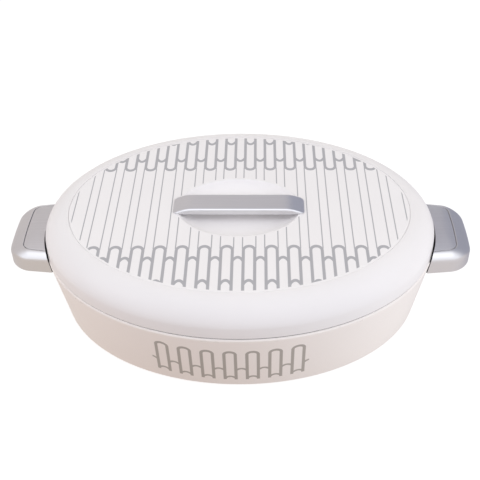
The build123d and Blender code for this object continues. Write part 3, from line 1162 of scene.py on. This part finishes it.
@dataclass
class SideHandles:
    """Shells, inlays and dark strips of painted shade in the gaps of the two handles; sizes are those of the
    right one.

    Each pair of the lips, edges and fillets is a step sideways and a step up or down.
    """

    body: PotBody
    reach: float = 31.38
    rise: float = 4.0
    thickness: float = 20.5
    root_width: float = 84.0
    tip_width: float = 74.5
    tip_bow: float = 2.0
    corner_radius: float = 18.0
    roll_out: float = 13.0
    roll_root: float = 5.4
    roll_tip: float = 6.2
    roll_height: float = 9.5
    rim_corner_radius: float = 7.2
    wall: float = 3.0
    deck: float = 5.0
    web_x: float = 190.0
    roll_turn: float = 72.0
    gap_below: float = 1.2
    gap_above: float = 0.3
    gasket_setback: float = 1.2
    gasket_edge: float = 0.7
    gasket_clearance: float = 0.1
    root_depth: float = 14.0
    inlay_thickness: float = 2.0
    inlay_setback: float = 14.2
    inlay_root_width: float = 71.2
    inlay_tip_width: float = 60.0
    inlay_tip_bow: float = 1.2
    inlay_corner_radius: float = 6.0
    inlay_groove: float = 0.5
    groove_lip: Steps = ((0.0, 0.35), (0.12, 0.1), (0.35, 0.0))
    inlay_edge: Steps = ((0.0, 0.3), (0.1, 0.09), (0.3, 0.0))
    bottom_edge: float = 0.9
    pocket_lip: Steps = ((-0.6, 0.0), (-0.2, 0.2), (0.0, 0.6))
    pocket_fillet: Steps = ((0.0, -2.0), (0.6, -0.6), (2.0, 0.0))
    path_points: int = 150
    end_points: int = 60
    corner_steps: int = 24
    roll_rings: int = 18
    edge_rings: int = 6
    gasket_rows: int = 8
    pieces: list[tuple[str, bpy.types.Object]] = field(default_factory=list)

    @property
    def top_z(self) -> float:
        """Height of the handle's top."""
        return self.body.seam_z + self.rise

    @property
    def bottom_z(self) -> float:
        """Height of the handle's underside."""
        return self.top_z - self.thickness

    @property
    def deck_z(self) -> float:
        """Height of the sunk deck under the inlay."""
        return self.top_z - self.inlay_thickness

    @property
    def deck_reach(self) -> float:
        """Half width of the sunk deck where it meets the pot."""
        return float(-self.inlay_ring(self.inlay_groove, self.deck_z, self.deck_z)[0, 1])

    def gap(self, z: float) -> float:
        """Shadow gap beside the pot at height z, which narrows evenly from the underside to the top."""
        return float(np.interp(z, (self.bottom_z, self.top_z), (self.gap_below, self.gap_above)))

    def pot_oval(self, z: float) -> tuple[float, float]:
        """Half length and half width of the pot's outline at height z, grown by the shadow gap."""
        grow = self.gap(z) - max(0.0, self.body.wall_inset(z))
        return self.body.plan.half_length + grow, self.body.plan.half_width + grow

    def ring(
        self, tip_x: float, root: float, tip: float, bow: float, radius: float, z: float, end_z: float,
        web: bool = False,
    ) -> Values:
        """Ring round a tapered tongue whose inner end follows the pot, or is cut off straight at the web.

        The sides are straight from root to tip half width, the outer corners are round, and the outer end
        bows out by bow (1 - (y / tip)^2). The inner end is x = a sqrt(1 - (y / b)^2), with a and b from the
        pot's oval, and where it lies lower than the sides it is as wide as the sunk deck.

        Args:
            tip_x: Furthest X of the ring.
            root: Half width at the root.
            tip: Half width at the outer corners.
            bow: Rise of the outer end.
            radius: Radius of the outer corners.
            z: Height of the ring's sides and outer end.
            end_z: Height of its inner end.
            web: Whether the inner end is the straight web.

        Returns:
            The ring's points, outside first and inner end last.
        """
        root_x = self.body.plan.half_length - self.root_depth
        corner_x = tip_x - bow
        slope = (tip - root) / (corner_x - root_x)
        a, b = self.pot_oval(min(z, end_z))
        base = root - slope * root_x
        k2, k1, k0 = 1 / a ** 2 + slope ** 2 / b ** 2, 2 * slope * base / b ** 2, base ** 2 / b ** 2 - 1
        start_x = (-k1 + math.sqrt(k1 ** 2 - 4 * k2 * k0)) / (2 * k2)
        start = base + slope * start_x
        corners = [(start_x, -start), (corner_x, -tip), (corner_x, tip), (start_x, start)]
        loop = rounded(corners, [0, radius, radius, 0], self.corner_steps)
        begin = int(np.argmin(np.hypot(loop[:, 0] - start_x, loop[:, 1] + start)))
        line = resampled(np.roll(loop, -begin, axis=0), self.path_points)
        out = np.clip((line[:, 0] - corner_x + radius) / radius, 0, 1)
        line[:, 0] += bow * (1 - (line[:, 1] / tip) ** 2) * out
        reach = self.deck_reach if z > end_z else start
        y = np.linspace(reach, -reach, self.end_points)
        x = a * np.sqrt(1 - (y / b) ** 2)
        points = np.vstack([at_height(line, z), at_height(np.column_stack([x, y]), end_z)])
        if web:
            side = base + slope * self.web_x
            points[:, 0] = np.maximum(points[:, 0], self.web_x)
            points[:, 1] = np.clip(points[:, 1], -side, side)
        return points

    def outline(
        self, out: float, root: float, tip: float, z: float, turn: float = 0.0, web: bool = False
    ) -> Values:
        """Ring of the shell's outside, drawn in from its full size.

        Args:
            out: How far the outer end is drawn in.
            root: How far the sides are drawn in at the root.
            tip: How far the sides are drawn in at the outer corners.
            z: Height of the ring.
            turn: Share of the way up the roll, from 0 to 1.
            web: Whether the inner end is the straight web.

        Returns:
            The ring's points.
        """
        tighter = self.rim_corner_radius - self.corner_radius + self.roll_tip
        radius = self.corner_radius - tip + turn * tighter
        bow = self.tip_bow + turn * (self.inlay_tip_bow - self.tip_bow)
        tip_x = self.body.plan.half_length + self.reach - out
        half_root, half_tip = self.root_width / 2 - root, self.tip_width / 2 - tip
        return self.ring(tip_x, half_root, half_tip, bow, radius, z, min(z, self.deck_z), web)

    def inlay_ring(self, grow: float, z: float, end_z: float) -> Values:
        """Ring of the inlay's outline, grown by grow.

        Args:
            grow: How far the ring lies outside the inlay.
            z: Height of the ring.
            end_z: Height of its inner end.

        Returns:
            The ring's points, n by 3.
        """
        tip_x = self.body.plan.half_length + self.reach - self.inlay_setback + grow
        return self.ring(
            tip_x, self.inlay_root_width / 2 + grow, self.inlay_tip_width / 2 + grow, self.inlay_tip_bow,
            self.inlay_corner_radius + grow, z, end_z)

    def shell_sheet(self) -> Sheet:
        """Shell from the sunk deck over the rolled edge, down the outside and up into the finger pocket.

        Up the roll, with t from 0 to the roll's turn T, the insets are roll (1 - cos t) / (1 - cos T) and the
        height is roll height times sin t / sin T.

        Returns:
            The surface.
        """
        deck_z, top_z, bottom_z = self.deck_z, self.top_z, self.bottom_z
        rings = [self.inlay_ring(self.inlay_groove, deck_z, deck_z)]
        for out, down in self.groove_lip:
            rings.append(self.inlay_ring(self.inlay_groove + out, top_z - down, deck_z))
        end = math.radians(self.roll_turn)
        for t in np.linspace(end, 0, self.roll_rings):
            share = (1 - math.cos(t)) / (1 - math.cos(end))
            z = top_z - self.roll_height + self.roll_height * math.sin(t) / math.sin(end)
            out, root, tip = self.roll_out * share, self.roll_root * share, self.roll_tip * share
            rings.append(self.outline(out, root, tip, z, share))
        for t in np.linspace(0, np.pi / 2, self.edge_rings):
            inset = self.bottom_edge * (1 - math.cos(t))
            rings.append(self.outline(inset, inset, inset, bottom_z + self.bottom_edge * (1 - math.sin(t))))
        pocket_z = deck_z - self.deck
        for steps, level in ((self.pocket_lip, bottom_z), (self.pocket_fillet, pocket_z)):
            insets = [(self.wall + step, level + up) for step, up in steps]
            rings.extend(self.outline(inset, inset, inset, z, web=True) for inset, z in insets)
        return skin(rings)

    def gasket_sheet(self) -> Sheet:
        """Dark strip of painted shade between the pot and the shell, where the shadow gap's shade falls; set
        back from the shell's edges and below the lid.

        Each section across the strip runs up its outer face and down its inner one. Both faces lie on ovals
        x = a sqrt(1 - (y / b)^2) inside the shadow gap.

        Returns:
            The surface.
        """
        reach = self.root_width / 2 - self.gasket_setback
        y = np.linspace(-reach, reach, self.end_points)
        low, high = self.bottom_z + self.gasket_edge, self.body.seam_z - self.gasket_edge
        heights = np.linspace(low, high, self.gasket_rows)

        def face(z: float, inset: float) -> Values:
            """Line along the strip at height z, set in from the shell's inner end."""
            a, b = self.pot_oval(z)
            return at_height(np.column_stack([(a - inset) * np.sqrt(1 - (y / (b - inset)) ** 2), y]), z)

        outer = [face(z, self.gasket_clearance) for z in heights]
        inner = [face(z, self.gap(z) - self.gasket_clearance) for z in heights[::-1]]
        return skin(list(np.stack([*outer, *inner], axis=1)))

    def inlay_sheet(self) -> Sheet:
        """Flat inlay with a softened upper edge."""
        edges = [(0.0, self.deck_z), *((-step, self.top_z - down) for step, down in self.inlay_edge)]
        return skin([self.inlay_ring(grow, z, z) for grow, z in edges])

    def build(self) -> None:
        """Makes both shells, inlays and dark strips of painted shade; the left ones are turned half round."""
        for side, turn in (("right", (1, 1, 1)), ("left", (-1, -1, 1))):
            for part, slot, sheet, nodes in (
                ("shell", "handle_silver", self.shell_sheet(), [f"{side}_handle_shell"]),
                ("inlay", "inlay_grey", self.inlay_sheet(), [f"{side}_handle_inlay"]),
                # The dark strip is painted shade: a black sheet filling the shadow gap, where only shade
                # falls.
                ("gasket", "foot_rubber", self.gasket_sheet(), []),
            ):
                turned = Sheet(sheet.points * turn)
                self.pieces.append((slot, make_piece(f"{side}_grip_{part}", [turned], Body.POT, nodes)))

    def dress(self, finishes: Finishes) -> None:
        """Gives the handles' pieces and screws their finishes.

        Args:
            finishes: Finishes of the whole part.
        """
        for slot, piece in self.pieces:
            finishes.dress(piece, slot)
        finishes.dress_nodes({"left_handle_screws": "screw_steel", "right_handle_screws": "screw_steel"})


@dataclass
class Lid:
    """Lid cover, printed top panel with the finger well, and the lifting bar.

    The well's floor and side are stretches of its radius, as shares of it. The bar's underside and crown are
    rings at shares of its outline.
    """

    plan: OvalPlan
    seam_z: float = 72.5
    ledge_z: float = 70.4
    height: float = 28.4
    wall: float = 2.5
    skirt_z: float = 70.9
    skirt_height: float = 8.0
    skirt_inset: float = 1.2
    skirt_lean: float = 1.5
    skirt_draft: float = 0.15
    skirt_edge: float = 0.7
    skirt_inner_edge: float = 0.4
    seam_lift: float = 0.06
    seam_setback: float = 0.4
    seam_back: float = 0.3
    seam_edge: float = 0.2
    stop_z: float = 76.5
    stop_width: float = 3.0
    stop_height: float = 2.5
    shoulder_rise: float = 7.6
    shoulder_run: float = 13.4
    ledge_width: float = 5.0
    ledge_thickness: float = 2.5
    ledge_corner: float = 0.5
    seat_edge: float = 0.25
    panel_inset: float = 25.0
    panel_groove: float = 0.12
    panel_thickness: float = 2.6
    panel_edge_radius: float = 0.6
    panel_rings: int = 12
    edge_rings: int = 6
    well_length: float = 112.0
    well_width: float = 83.5
    well_depth: float = 9.4
    well_power: float = 8.0
    well_rim: float = 0.16
    well_floor: Range = (0.04, 0.6)
    well_floor_rings: int = 12
    well_side: Range = (0.62, 1.06)
    well_side_rings: int = 45
    bar_length: float = 119.0
    bar_top_length: float = 95.0
    bar_width: float = 23.1
    bar_rise: float = 5.5
    bar_tip_height: float = 1.0
    bar_bend: float = 2.2
    bar_sink: float = 0.6
    bar_foot: float = 53.0
    bar_foot_run: float = 6.0
    bar_corner_radius: float = 4.0
    bar_corner_draw: float = 0.6
    bar_corner_steps: int = 14
    bar_points: int = 240
    bar_edge_radius: float = 1.7
    bar_edge_share: float = 0.55
    bar_edge_rings: int = 8
    bar_low_edge: float = 0.4
    bar_under: tuple[float, ...] = (0.1, 0.4, 0.7, 0.9, 1.0)
    bar_crown: Range = (0.97, 0.06)
    bar_crown_rings: int = 24
    post_spacing: float = 100.0
    post_diameter: float = 8.0
    post_depth: float = 8.0
    post_overlap: float = 0.5
    post_points: int = 32
    pieces: dict[str, bpy.types.Object] = field(default_factory=dict)

    @property
    def top_z(self) -> float:
        """Height of the flat top."""
        return self.seam_z + self.height

    def shoulder(self, offset: float, count: int = 40) -> Values:
        """Insets and heights up the shoulder, a cubic curve from upright to flat, moved in by offset.

        Args:
            offset: How far the curve is moved in.
            count: Number of points.

        Returns:
            The insets and heights, n by 2.
        """
        low = self.seam_z + self.skirt_height
        p = np.array([
            (self.skirt_lean, low), (self.skirt_lean, low + self.shoulder_rise),
            (self.panel_inset - self.shoulder_run, self.top_z), (self.panel_inset, self.top_z),
        ])
        t = np.linspace(0, 1, count)[:, None]
        u = 1 - t
        place = u ** 3 * p[0] + 3 * t * u ** 2 * p[1] + 3 * t ** 2 * u * p[2] + t ** 3 * p[3]
        slope = u ** 2 * (p[1] - p[0]) + 2 * t * u * (p[2] - p[1]) + t ** 2 * (p[3] - p[2])
        slope /= np.linalg.norm(slope, axis=1, keepdims=True)
        return place + offset * np.column_stack([slope[:, 1], -slope[:, 0]])

    def cover_sheet(self) -> Sheet:
        """Skirt, shoulder, panel seat and stop ring as one closed profile.

        Returns:
            The surface.
        """
        low = self.skirt_z
        seat = self.top_z - self.panel_thickness
        ledge = seat - self.ledge_thickness
        inner = self.shoulder(self.wall)[::-1]
        inner = inner[inner[:, 1] < ledge - self.ledge_corner]
        stop = self.skirt_lean + self.wall + self.stop_width
        stop_top = self.stop_z + self.stop_height
        inside = self.skirt_inset + self.wall
        shelf = self.panel_inset + self.ledge_width
        tail = [
            (self.panel_inset, seat), (shelf, seat), (shelf, ledge), (inner[0, 0] + self.ledge_corner, ledge),
        ]
        foot = [
            (self.skirt_lean + self.wall, stop_top), (stop, stop_top), (stop, self.stop_z),
            (inside + self.skirt_draft, self.stop_z), (inside, low),
        ]
        outer = self.shoulder(0.0)
        corners = np.vstack([[(self.skirt_inset, low)], outer, tail, inner, foot])
        radii = np.zeros(len(corners))
        radii[0] = self.skirt_edge
        radii[len(outer)] = self.seat_edge
        radii[-1] = self.skirt_inner_edge
        return self.plan.sweep(rounded(corners, radii))

    def seam_shadow_ring_sheet(self) -> Sheet:
        """Dark ring under the skirt that fills the seam: painted shade, a black sheet where only the seam's
        shade falls.

        Returns:
            The surface.
        """
        low, high = self.ledge_z + self.seam_lift, self.skirt_z
        outer, inner = self.skirt_inset + self.seam_setback, self.skirt_inset + self.wall - self.seam_back
        corners = [(outer, low), (outer, high), (inner, high), (inner, low)]
        return self.plan.sweep(rounded(corners, [self.seam_edge, 0, 0, self.seam_edge]))

    def well_drop(self, share: Values) -> Values:
        """Depth of the well at a share of its radius.

        With u = 1 - share^power, the depth is that of the dish times u inside, 0 outside, and
        (u + rim)^2 / (4 rim) across the softened rim.

        Args:
            share: Share of the well's radius, 1 at its rim.

        Returns:
            The depth below the panel's top.
        """
        u = 1 - share ** self.well_power
        rim = self.well_rim
        across = (np.clip(u, -rim, rim) + rim) ** 2 / (4 * rim)
        return self.well_depth * (across + np.maximum(u - rim, 0))

    def panel_sheet(self) -> Sheet:
        """Panel from the middle of the well out over its edge and back below, one wall thick.

        Returns:
            The surface.
        """
        turn = np.linspace(0, 2 * np.pi, AROUND, endpoint=False)
        well = np.column_stack([self.well_length / 2 * np.cos(turn), self.well_width / 2 * np.sin(turn)])
        floor = np.linspace(*self.well_floor, self.well_floor_rings)
        share = np.concatenate([floor, np.linspace(*self.well_side, self.well_side_rings)])
        inner = [at_height(well * s, self.top_z - drop) for s, drop in zip(share, self.well_drop(share))]
        edge = self.panel_inset + self.panel_groove
        r = self.panel_edge_radius
        shelf = self.plan.ring(edge + r, self.top_z)
        rim = inner[-1]
        flat = [rim + (shelf - rim) * k for k in np.linspace(0, 1, self.panel_rings)[1:]]
        top = [*inner, *flat]
        lip = [
            self.plan.ring(edge + r * (1 - math.sin(t)), self.top_z - r * (1 - math.cos(t)))
            for t in np.linspace(0, np.pi / 2, self.edge_rings)[1:]
        ]
        drop = np.array([0, 0, self.panel_thickness])
        return skin([*top, *lip, *[ring - drop for ring in reversed(top)]])

    def bar_top(self, x: Values) -> Values:
        """Height along the bar: flat in the middle, bending softly into straight slopes at the ends.

        With m the distance past the flat, the drop is slope times bend ln(1 + exp(m / bend)).

        Args:
            x: Place along the bar.

        Returns:
            The height.
        """
        past = np.abs(x) - self.bar_top_length / 2
        slope = 2 * (self.bar_rise - self.bar_tip_height) / (self.bar_length - self.bar_top_length)
        return self.top_z + self.bar_rise - slope * self.bar_bend * np.logaddexp(0, past / self.bar_bend)

    def bar_sheets(self) -> list[Sheet]:
        """Bar as rings of a rounded oblong from the underside round the edge to the top's middle; and posts.

        At a distance d inside the outline, the top lies r - sqrt(r^2 - (r - d)^2) below the height along it.

        Returns:
            The bar's surface and those of its posts.
        """
        r = self.bar_edge_radius

        def outline(inset: float) -> Values:
            """Rounded oblong, drawn in by inset, with even steps.

            Args:
                inset: How far the oblong is drawn in.

            Returns:
                Its points, n by 2.
            """
            half, width = self.bar_length / 2 - inset, self.bar_width / 2 - inset
            corners = [(-half, -width), (half, -width), (half, width), (-half, width)]
            radius = self.bar_corner_radius - self.bar_corner_draw * inset
            loop = rounded(corners, [radius] * 4, self.bar_corner_steps)
            return resampled(np.vstack([loop, loop[:1]]), self.bar_points + 1)[:-1]

        def underside(x: Values) -> Values:
            """Height of the underside: on the panel at the ends and sunk a little into the well between."""
            share = np.clip((self.bar_foot - np.abs(x)) / self.bar_foot_run, 0, 1)
            return self.top_z - self.bar_sink * share ** 2 * (3 - 2 * share)

        low, plan = outline(self.bar_low_edge), outline(0.0)
        rings = [at_height(low * k, underside(low[:, 0] * k)) for k in self.bar_under]
        rings.append(at_height(plan, underside(plan[:, 0]) + self.bar_low_edge))
        for t in np.linspace(0, np.pi / 2, self.bar_edge_rings):
            ring = outline(r * (1 - math.cos(t)))
            top = self.bar_top(ring[:, 0])
            edge = np.minimum(r, self.bar_edge_share * (top - underside(ring[:, 0])))
            rings.append(at_height(ring, top - edge * (1 - math.sin(t))))
        inner = outline(r)
        shares = np.linspace(*self.bar_crown, self.bar_crown_rings)
        rings.extend(at_height(inner * k, self.bar_top(inner[:, 0] * k)) for k in shares)
        turn = np.linspace(0, 2 * np.pi, self.post_points, endpoint=False)
        round_post = np.column_stack([np.cos(turn), np.sin(turn)]) * self.post_diameter / 2
        ends = (self.top_z - self.post_depth, self.top_z + self.post_overlap)
        posts = [
            skin([at_height(round_post + (x, 0), z) for z in ends])
            for x in (-self.post_spacing / 2, self.post_spacing / 2)
        ]
        return [skin(rings), *posts]

    def build(self) -> None:
        """Makes the cover, the dark seam ring of painted shade, the panel and the bar."""
        for slot, name, sheets, nodes in (
            ("white_lid", "lid_dome", [self.cover_sheet()], ["lid_cover"]),
            # The seam ring is painted shade: a black sheet in the seam that stands in for its shade.
            ("foot_rubber", "seam_shadow_ring", [self.seam_shadow_ring_sheet()], []),
            ("white_panel", "lid_panel", [self.panel_sheet()], ["lid_top_panel"]),
            ("bar_silver", "lid_bar", self.bar_sheets(), ["lid_handle_bar"]),
        ):
            self.pieces[slot] = make_piece(name, sheets, Body.LID, nodes)

    def dress(self, finishes: Finishes) -> None:
        """Gives the lid's pieces and nodes their finishes.

        Args:
            finishes: Finishes of the whole part.
        """
        for slot, piece in self.pieces.items():
            finishes.dress(piece, slot)
        finishes.dress_nodes({
            "lid_handle_screws": "screw_steel", "lid_insulation": "foam", "lid_liner": "white_base",
            "lid_seal": "seal_silicone",
        })


@dataclass(frozen=True)
class Softbox:
    """One soft lamp.

    Attributes:
        name: Name of the lamp.
        place: Its place in metres.
        size: Its width and height in metres.
        power: Its power in watts.
        mirrored: Whether it shows in gloss.
    """

    name: str
    place: tuple[float, float, float]
    size: tuple[float, float]
    power: float
    mirrored: bool = True


@dataclass
class Studio:
    """Pale floor, soft light and the camera at the photograph's angle.

    A Range is where a colour starts to turn into the next and where it has turned: in metres on the floor,
    and in shares of the unit direction in the room around it.
    """

    softboxes: tuple[Softbox, ...] = (
        Softbox("right_softbox", (1.4, -0.5, 0.9), (1.0, 1.0), 12.2, mirrored=False),
        Softbox("left_softbox", (-1.4, -0.5, 0.9), (1.0, 1.0), 10.2, mirrored=False),
        Softbox("front_softbox", (0.1, -1.1, 1.6), (2.4, 2.0), 4.4),
    )
    dome_front: Colour = (0.475, 0.505, 0.57)
    dome_back: Colour = (0.785, 0.76, 0.705)
    lens: float = 65.734
    sensor: float = 36.0
    camera_place: tuple[float, float, float] = (22.845, -631.149, 590.852)
    camera_right: tuple[float, float, float] = (0.999630, 0.021540, -0.016617)
    camera_up: tuple[float, float, float] = (-0.001125, 0.643002, 0.765864)
    camera_back: tuple[float, float, float] = (0.027182, -0.765562, 0.642788)
    far: float = 50.0
    aim: tuple[float, float, float] = (0.0, 0.0, 0.07)
    floor_half: float = 4.0
    floor_points: int = 64
    shade_grey: float = 0.26
    glow: float = 0.83
    back_left: Colour = (0.68, 0.64, 0.64)
    back_right: Colour = (0.39, 0.4, 0.48)
    front: Colour = (1.17, 1.19, 1.26)
    floor_front_left: Colour = (0.72, 0.65, 0.6)
    floor_front_right: Colour = (0.79, 0.75, 0.76)
    floor_left: Colour = (0.607, 0.468, 0.376)
    floor_right: Colour = (0.928, 0.934, 0.942)
    bounce_turn: Range = (-0.1, 0.25)
    floor_side: Range = (0.0, 0.3)
    floor_back: Range = (-0.1, 0.1)
    white_side: Range = (0.3, 0.22)
    white_back: Range = (0.1, 0.2)
    room_spread: float = 0.6
    room_back: Range = (-0.1, 0.65)
    room_side: Range = (-0.1, 0.3)
    sweep_side: Range = (0.35, 0.2)
    sweep_height: Range = (0.3, 0.12)
    dome_turn: Range = (-0.5, 0.5)

    def seen_directly(self, graph: Graph) -> Socket:
        """1 for rays from the camera, from gloss and through glass.

        Args:
            graph: Graph that the nodes go into.

        Returns:
            The mask, from 0 to 1.
        """
        path = graph.node("ShaderNodeLightPath").outputs
        either = graph.math("MAXIMUM", path["Is Camera Ray"], path["Is Glossy Ray"])
        return graph.math("MAXIMUM", either, path["Is Transmission Ray"])

    def choose(
        self, graph: Graph, share: Socket, first: bpy.types.Node, second: bpy.types.Node
    ) -> bpy.types.Node:
        """Shader that is the first where share is 0 and the second where it is 1.

        Args:
            graph: Graph that the nodes go into.
            share: Which of the two shows, from 0 to 1.
            first: First shader.
            second: Second shader.

        Returns:
            The mixing shader.
        """
        made = graph.node("ShaderNodeMixShader")
        graph.feed(made.inputs[0], share)
        graph.feed(made.inputs[1], first.outputs[0])
        graph.feed(made.inputs[2], second.outputs[0])
        return made

    def gloss_colour(
        self, graph: Graph, side: Socket, back: Socket, near: Socket | Sequence[float]
    ) -> Socket:
        """Surroundings in gloss: the near colour in front, turning grey to the back, lighter left than right.

        Args:
            graph: Graph that the nodes go into.
            side: 0 on the left to 1 on the right.
            back: 0 in front to 1 at the back.
            near: Colour in front.

        Returns:
            The colour.
        """
        grey = graph.mix(side, rgba(self.back_left), rgba(self.back_right))
        return graph.mix(back, near, grey)

    def build_floor(self) -> None:
        """Wide flat floor."""
        turn = np.linspace(0, 2 * np.pi, self.floor_points, endpoint=False)
        rim = np.column_stack([np.cos(turn), np.sin(turn), np.zeros_like(turn)]) * self.floor_half
        mesh = bpy.data.meshes.new("studio_floor")
        mesh.from_pydata(rim.tolist(), [], [list(range(self.floor_points))])
        floor = bpy.data.objects.new("studio_floor", mesh)
        bpy.context.scene.collection.objects.link(floor)
        mesh.materials.append(self.floor_material())

    def floor_material(self) -> bpy.types.Material:
        """Material of the floor, which can be looked through from below.

        It sends up warm light on the left and paler light on the right, shows its own colours in gloss, and
        is white with a soft shadow where the camera sees it.

        Returns:
            The material.
        """
        material = bpy.data.materials.new("studio_floor")
        material.use_nodes = True
        material.node_tree.nodes.clear()
        graph = Graph(material.node_tree)
        x, y, _ = graph.place()
        bounce = graph.node("ShaderNodeEmission")
        half = graph.soft_step(x, *self.bounce_turn)
        graph.feed(bounce.inputs["Color"], graph.mix(half, rgba(self.floor_left), rgba(self.floor_right)))
        shade = graph.node("ShaderNodeBsdfDiffuse")
        shade.inputs["Color"].default_value = rgba((self.shade_grey,) * 3)
        glow = graph.node("ShaderNodeEmission")
        glow.inputs["Strength"].default_value = self.glow
        shown = graph.node("ShaderNodeAddShader")
        graph.feed(shown.inputs[0], shade.outputs[0])
        graph.feed(shown.inputs[1], glow.outputs[0])
        mirrored = graph.node("ShaderNodeEmission")
        graph.feed(mirrored.inputs["Color"], self.floor_gloss(graph, x, y))
        path = graph.node("ShaderNodeLightPath").outputs
        directly = self.choose(graph, path["Is Camera Ray"], mirrored, shown)
        either = self.choose(graph, self.seen_directly(graph), bounce, directly)
        below = graph.node("ShaderNodeNewGeometry").outputs["Backfacing"]
        surface = self.choose(graph, below, either, graph.node("ShaderNodeBsdfTransparent"))
        graph.feed(graph.node("ShaderNodeOutputMaterial").inputs["Surface"], surface.outputs[0])
        return material

    def floor_gloss(self, graph: Graph, x: Socket, y: Socket) -> Socket:
        """Colour of the floor in gloss, which is white close behind the pot.

        Args:
            graph: Graph that the nodes go into.
            x: Place to the right, in metres.
            y: Place to the back, in metres.

        Returns:
            The colour.
        """
        side, back = graph.soft_step(x, *self.floor_side), graph.soft_step(y, *self.floor_back)
        near = graph.mix(side, rgba(self.floor_front_left), rgba(self.floor_front_right))
        middle = graph.soft_step(graph.math("ABSOLUTE", x), *self.white_side)
        behind = graph.times(middle, graph.soft_step(y, *self.white_back))
        return graph.mix(behind, self.gloss_colour(graph, side, back, near), WHITE_LIGHT)

    def build_world(self) -> None:
        """Surroundings: white where seen, greyer at the back in gloss, and an even dome where they light."""
        world = bpy.data.worlds.new("studio_room")
        bpy.context.scene.world = world
        world.use_nodes = True
        world.node_tree.nodes.clear()
        graph = Graph(world.node_tree)
        split = graph.node("ShaderNodeSeparateXYZ")
        graph.feed(split.inputs[0], graph.node("ShaderNodeTexCoord").outputs["Generated"])
        x, y, z = split.outputs
        away = graph.math("ABSOLUTE", x)
        back = graph.soft_step(graph.math("MULTIPLY_ADD", away, self.room_spread, y), *self.room_back)
        side = graph.soft_step(x, *self.room_side)
        sweep = graph.times(graph.soft_step(away, *self.sweep_side), graph.soft_step(z, *self.sweep_height))
        room = graph.mix(sweep, self.gloss_colour(graph, side, back, (*self.front, 1)), WHITE_LIGHT)
        seen = graph.node("ShaderNodeLightPath").outputs["Is Camera Ray"]
        white = graph.node("ShaderNodeBackground")
        graph.feed(white.inputs["Color"], graph.mix(seen, room, WHITE_LIGHT))
        dome = graph.node("ShaderNodeBackground")
        half = graph.soft_step(y, *self.dome_turn)
        graph.feed(dome.inputs["Color"], graph.mix(half, rgba(self.dome_front), rgba(self.dome_back)))
        either = self.choose(graph, self.seen_directly(graph), dome, white)
        graph.feed(graph.node("ShaderNodeOutputWorld").inputs["Surface"], either.outputs[0])

    def add_softbox(self, box: Softbox) -> None:
        """Area light that faces the pot.

        Args:
            box: Lamp to add.
        """
        data = bpy.data.lights.new(box.name, "AREA")
        data.shape = "RECTANGLE"
        data.size, data.size_y = box.size
        data.energy = box.power
        lamp = bpy.data.objects.new(box.name, data)
        lamp.location = box.place
        lamp.visible_glossy = box.mirrored
        to_pot = Vector(self.aim) - Vector(box.place)
        lamp.rotation_euler = to_pot.to_track_quat("-Z", "Y").to_euler()
        bpy.context.scene.collection.objects.link(lamp)

    def build_camera(self) -> None:
        """Camera that sees the pot as the photograph does."""
        data = bpy.data.cameras.new("photo_camera")
        data.lens = self.lens
        data.sensor_width = self.sensor
        data.clip_end = self.far
        camera = bpy.data.objects.new("photo_camera", data)
        axes = Matrix((self.camera_right, self.camera_up, self.camera_back)).transposed()
        camera.matrix_world = Matrix.Translation(Vector(self.camera_place) * MM) @ axes.to_4x4()
        bpy.context.scene.collection.objects.link(camera)
        bpy.context.scene.camera = camera

    def build(self) -> None:
        """Sets the stage."""
        bpy.context.scene.view_settings.view_transform = "Standard"
        self.build_floor()
        self.build_world()
        for box in self.softboxes:
            self.add_softbox(box)
        self.build_camera()


def main() -> None:
    """Builds and dresses the pot, then sets the stage."""
    logging.basicConfig(level=logging.INFO, format="%(name)s %(message)s")
    finishes = Finishes()
    plan = OvalPlan()
    body = PotBody(plan)
    for assembly in (body, SideHandles(body), Lid(plan)):
        assembly.build()
        assembly.dress(finishes)
    Studio().build()


if __name__ == "__main__":
    main()
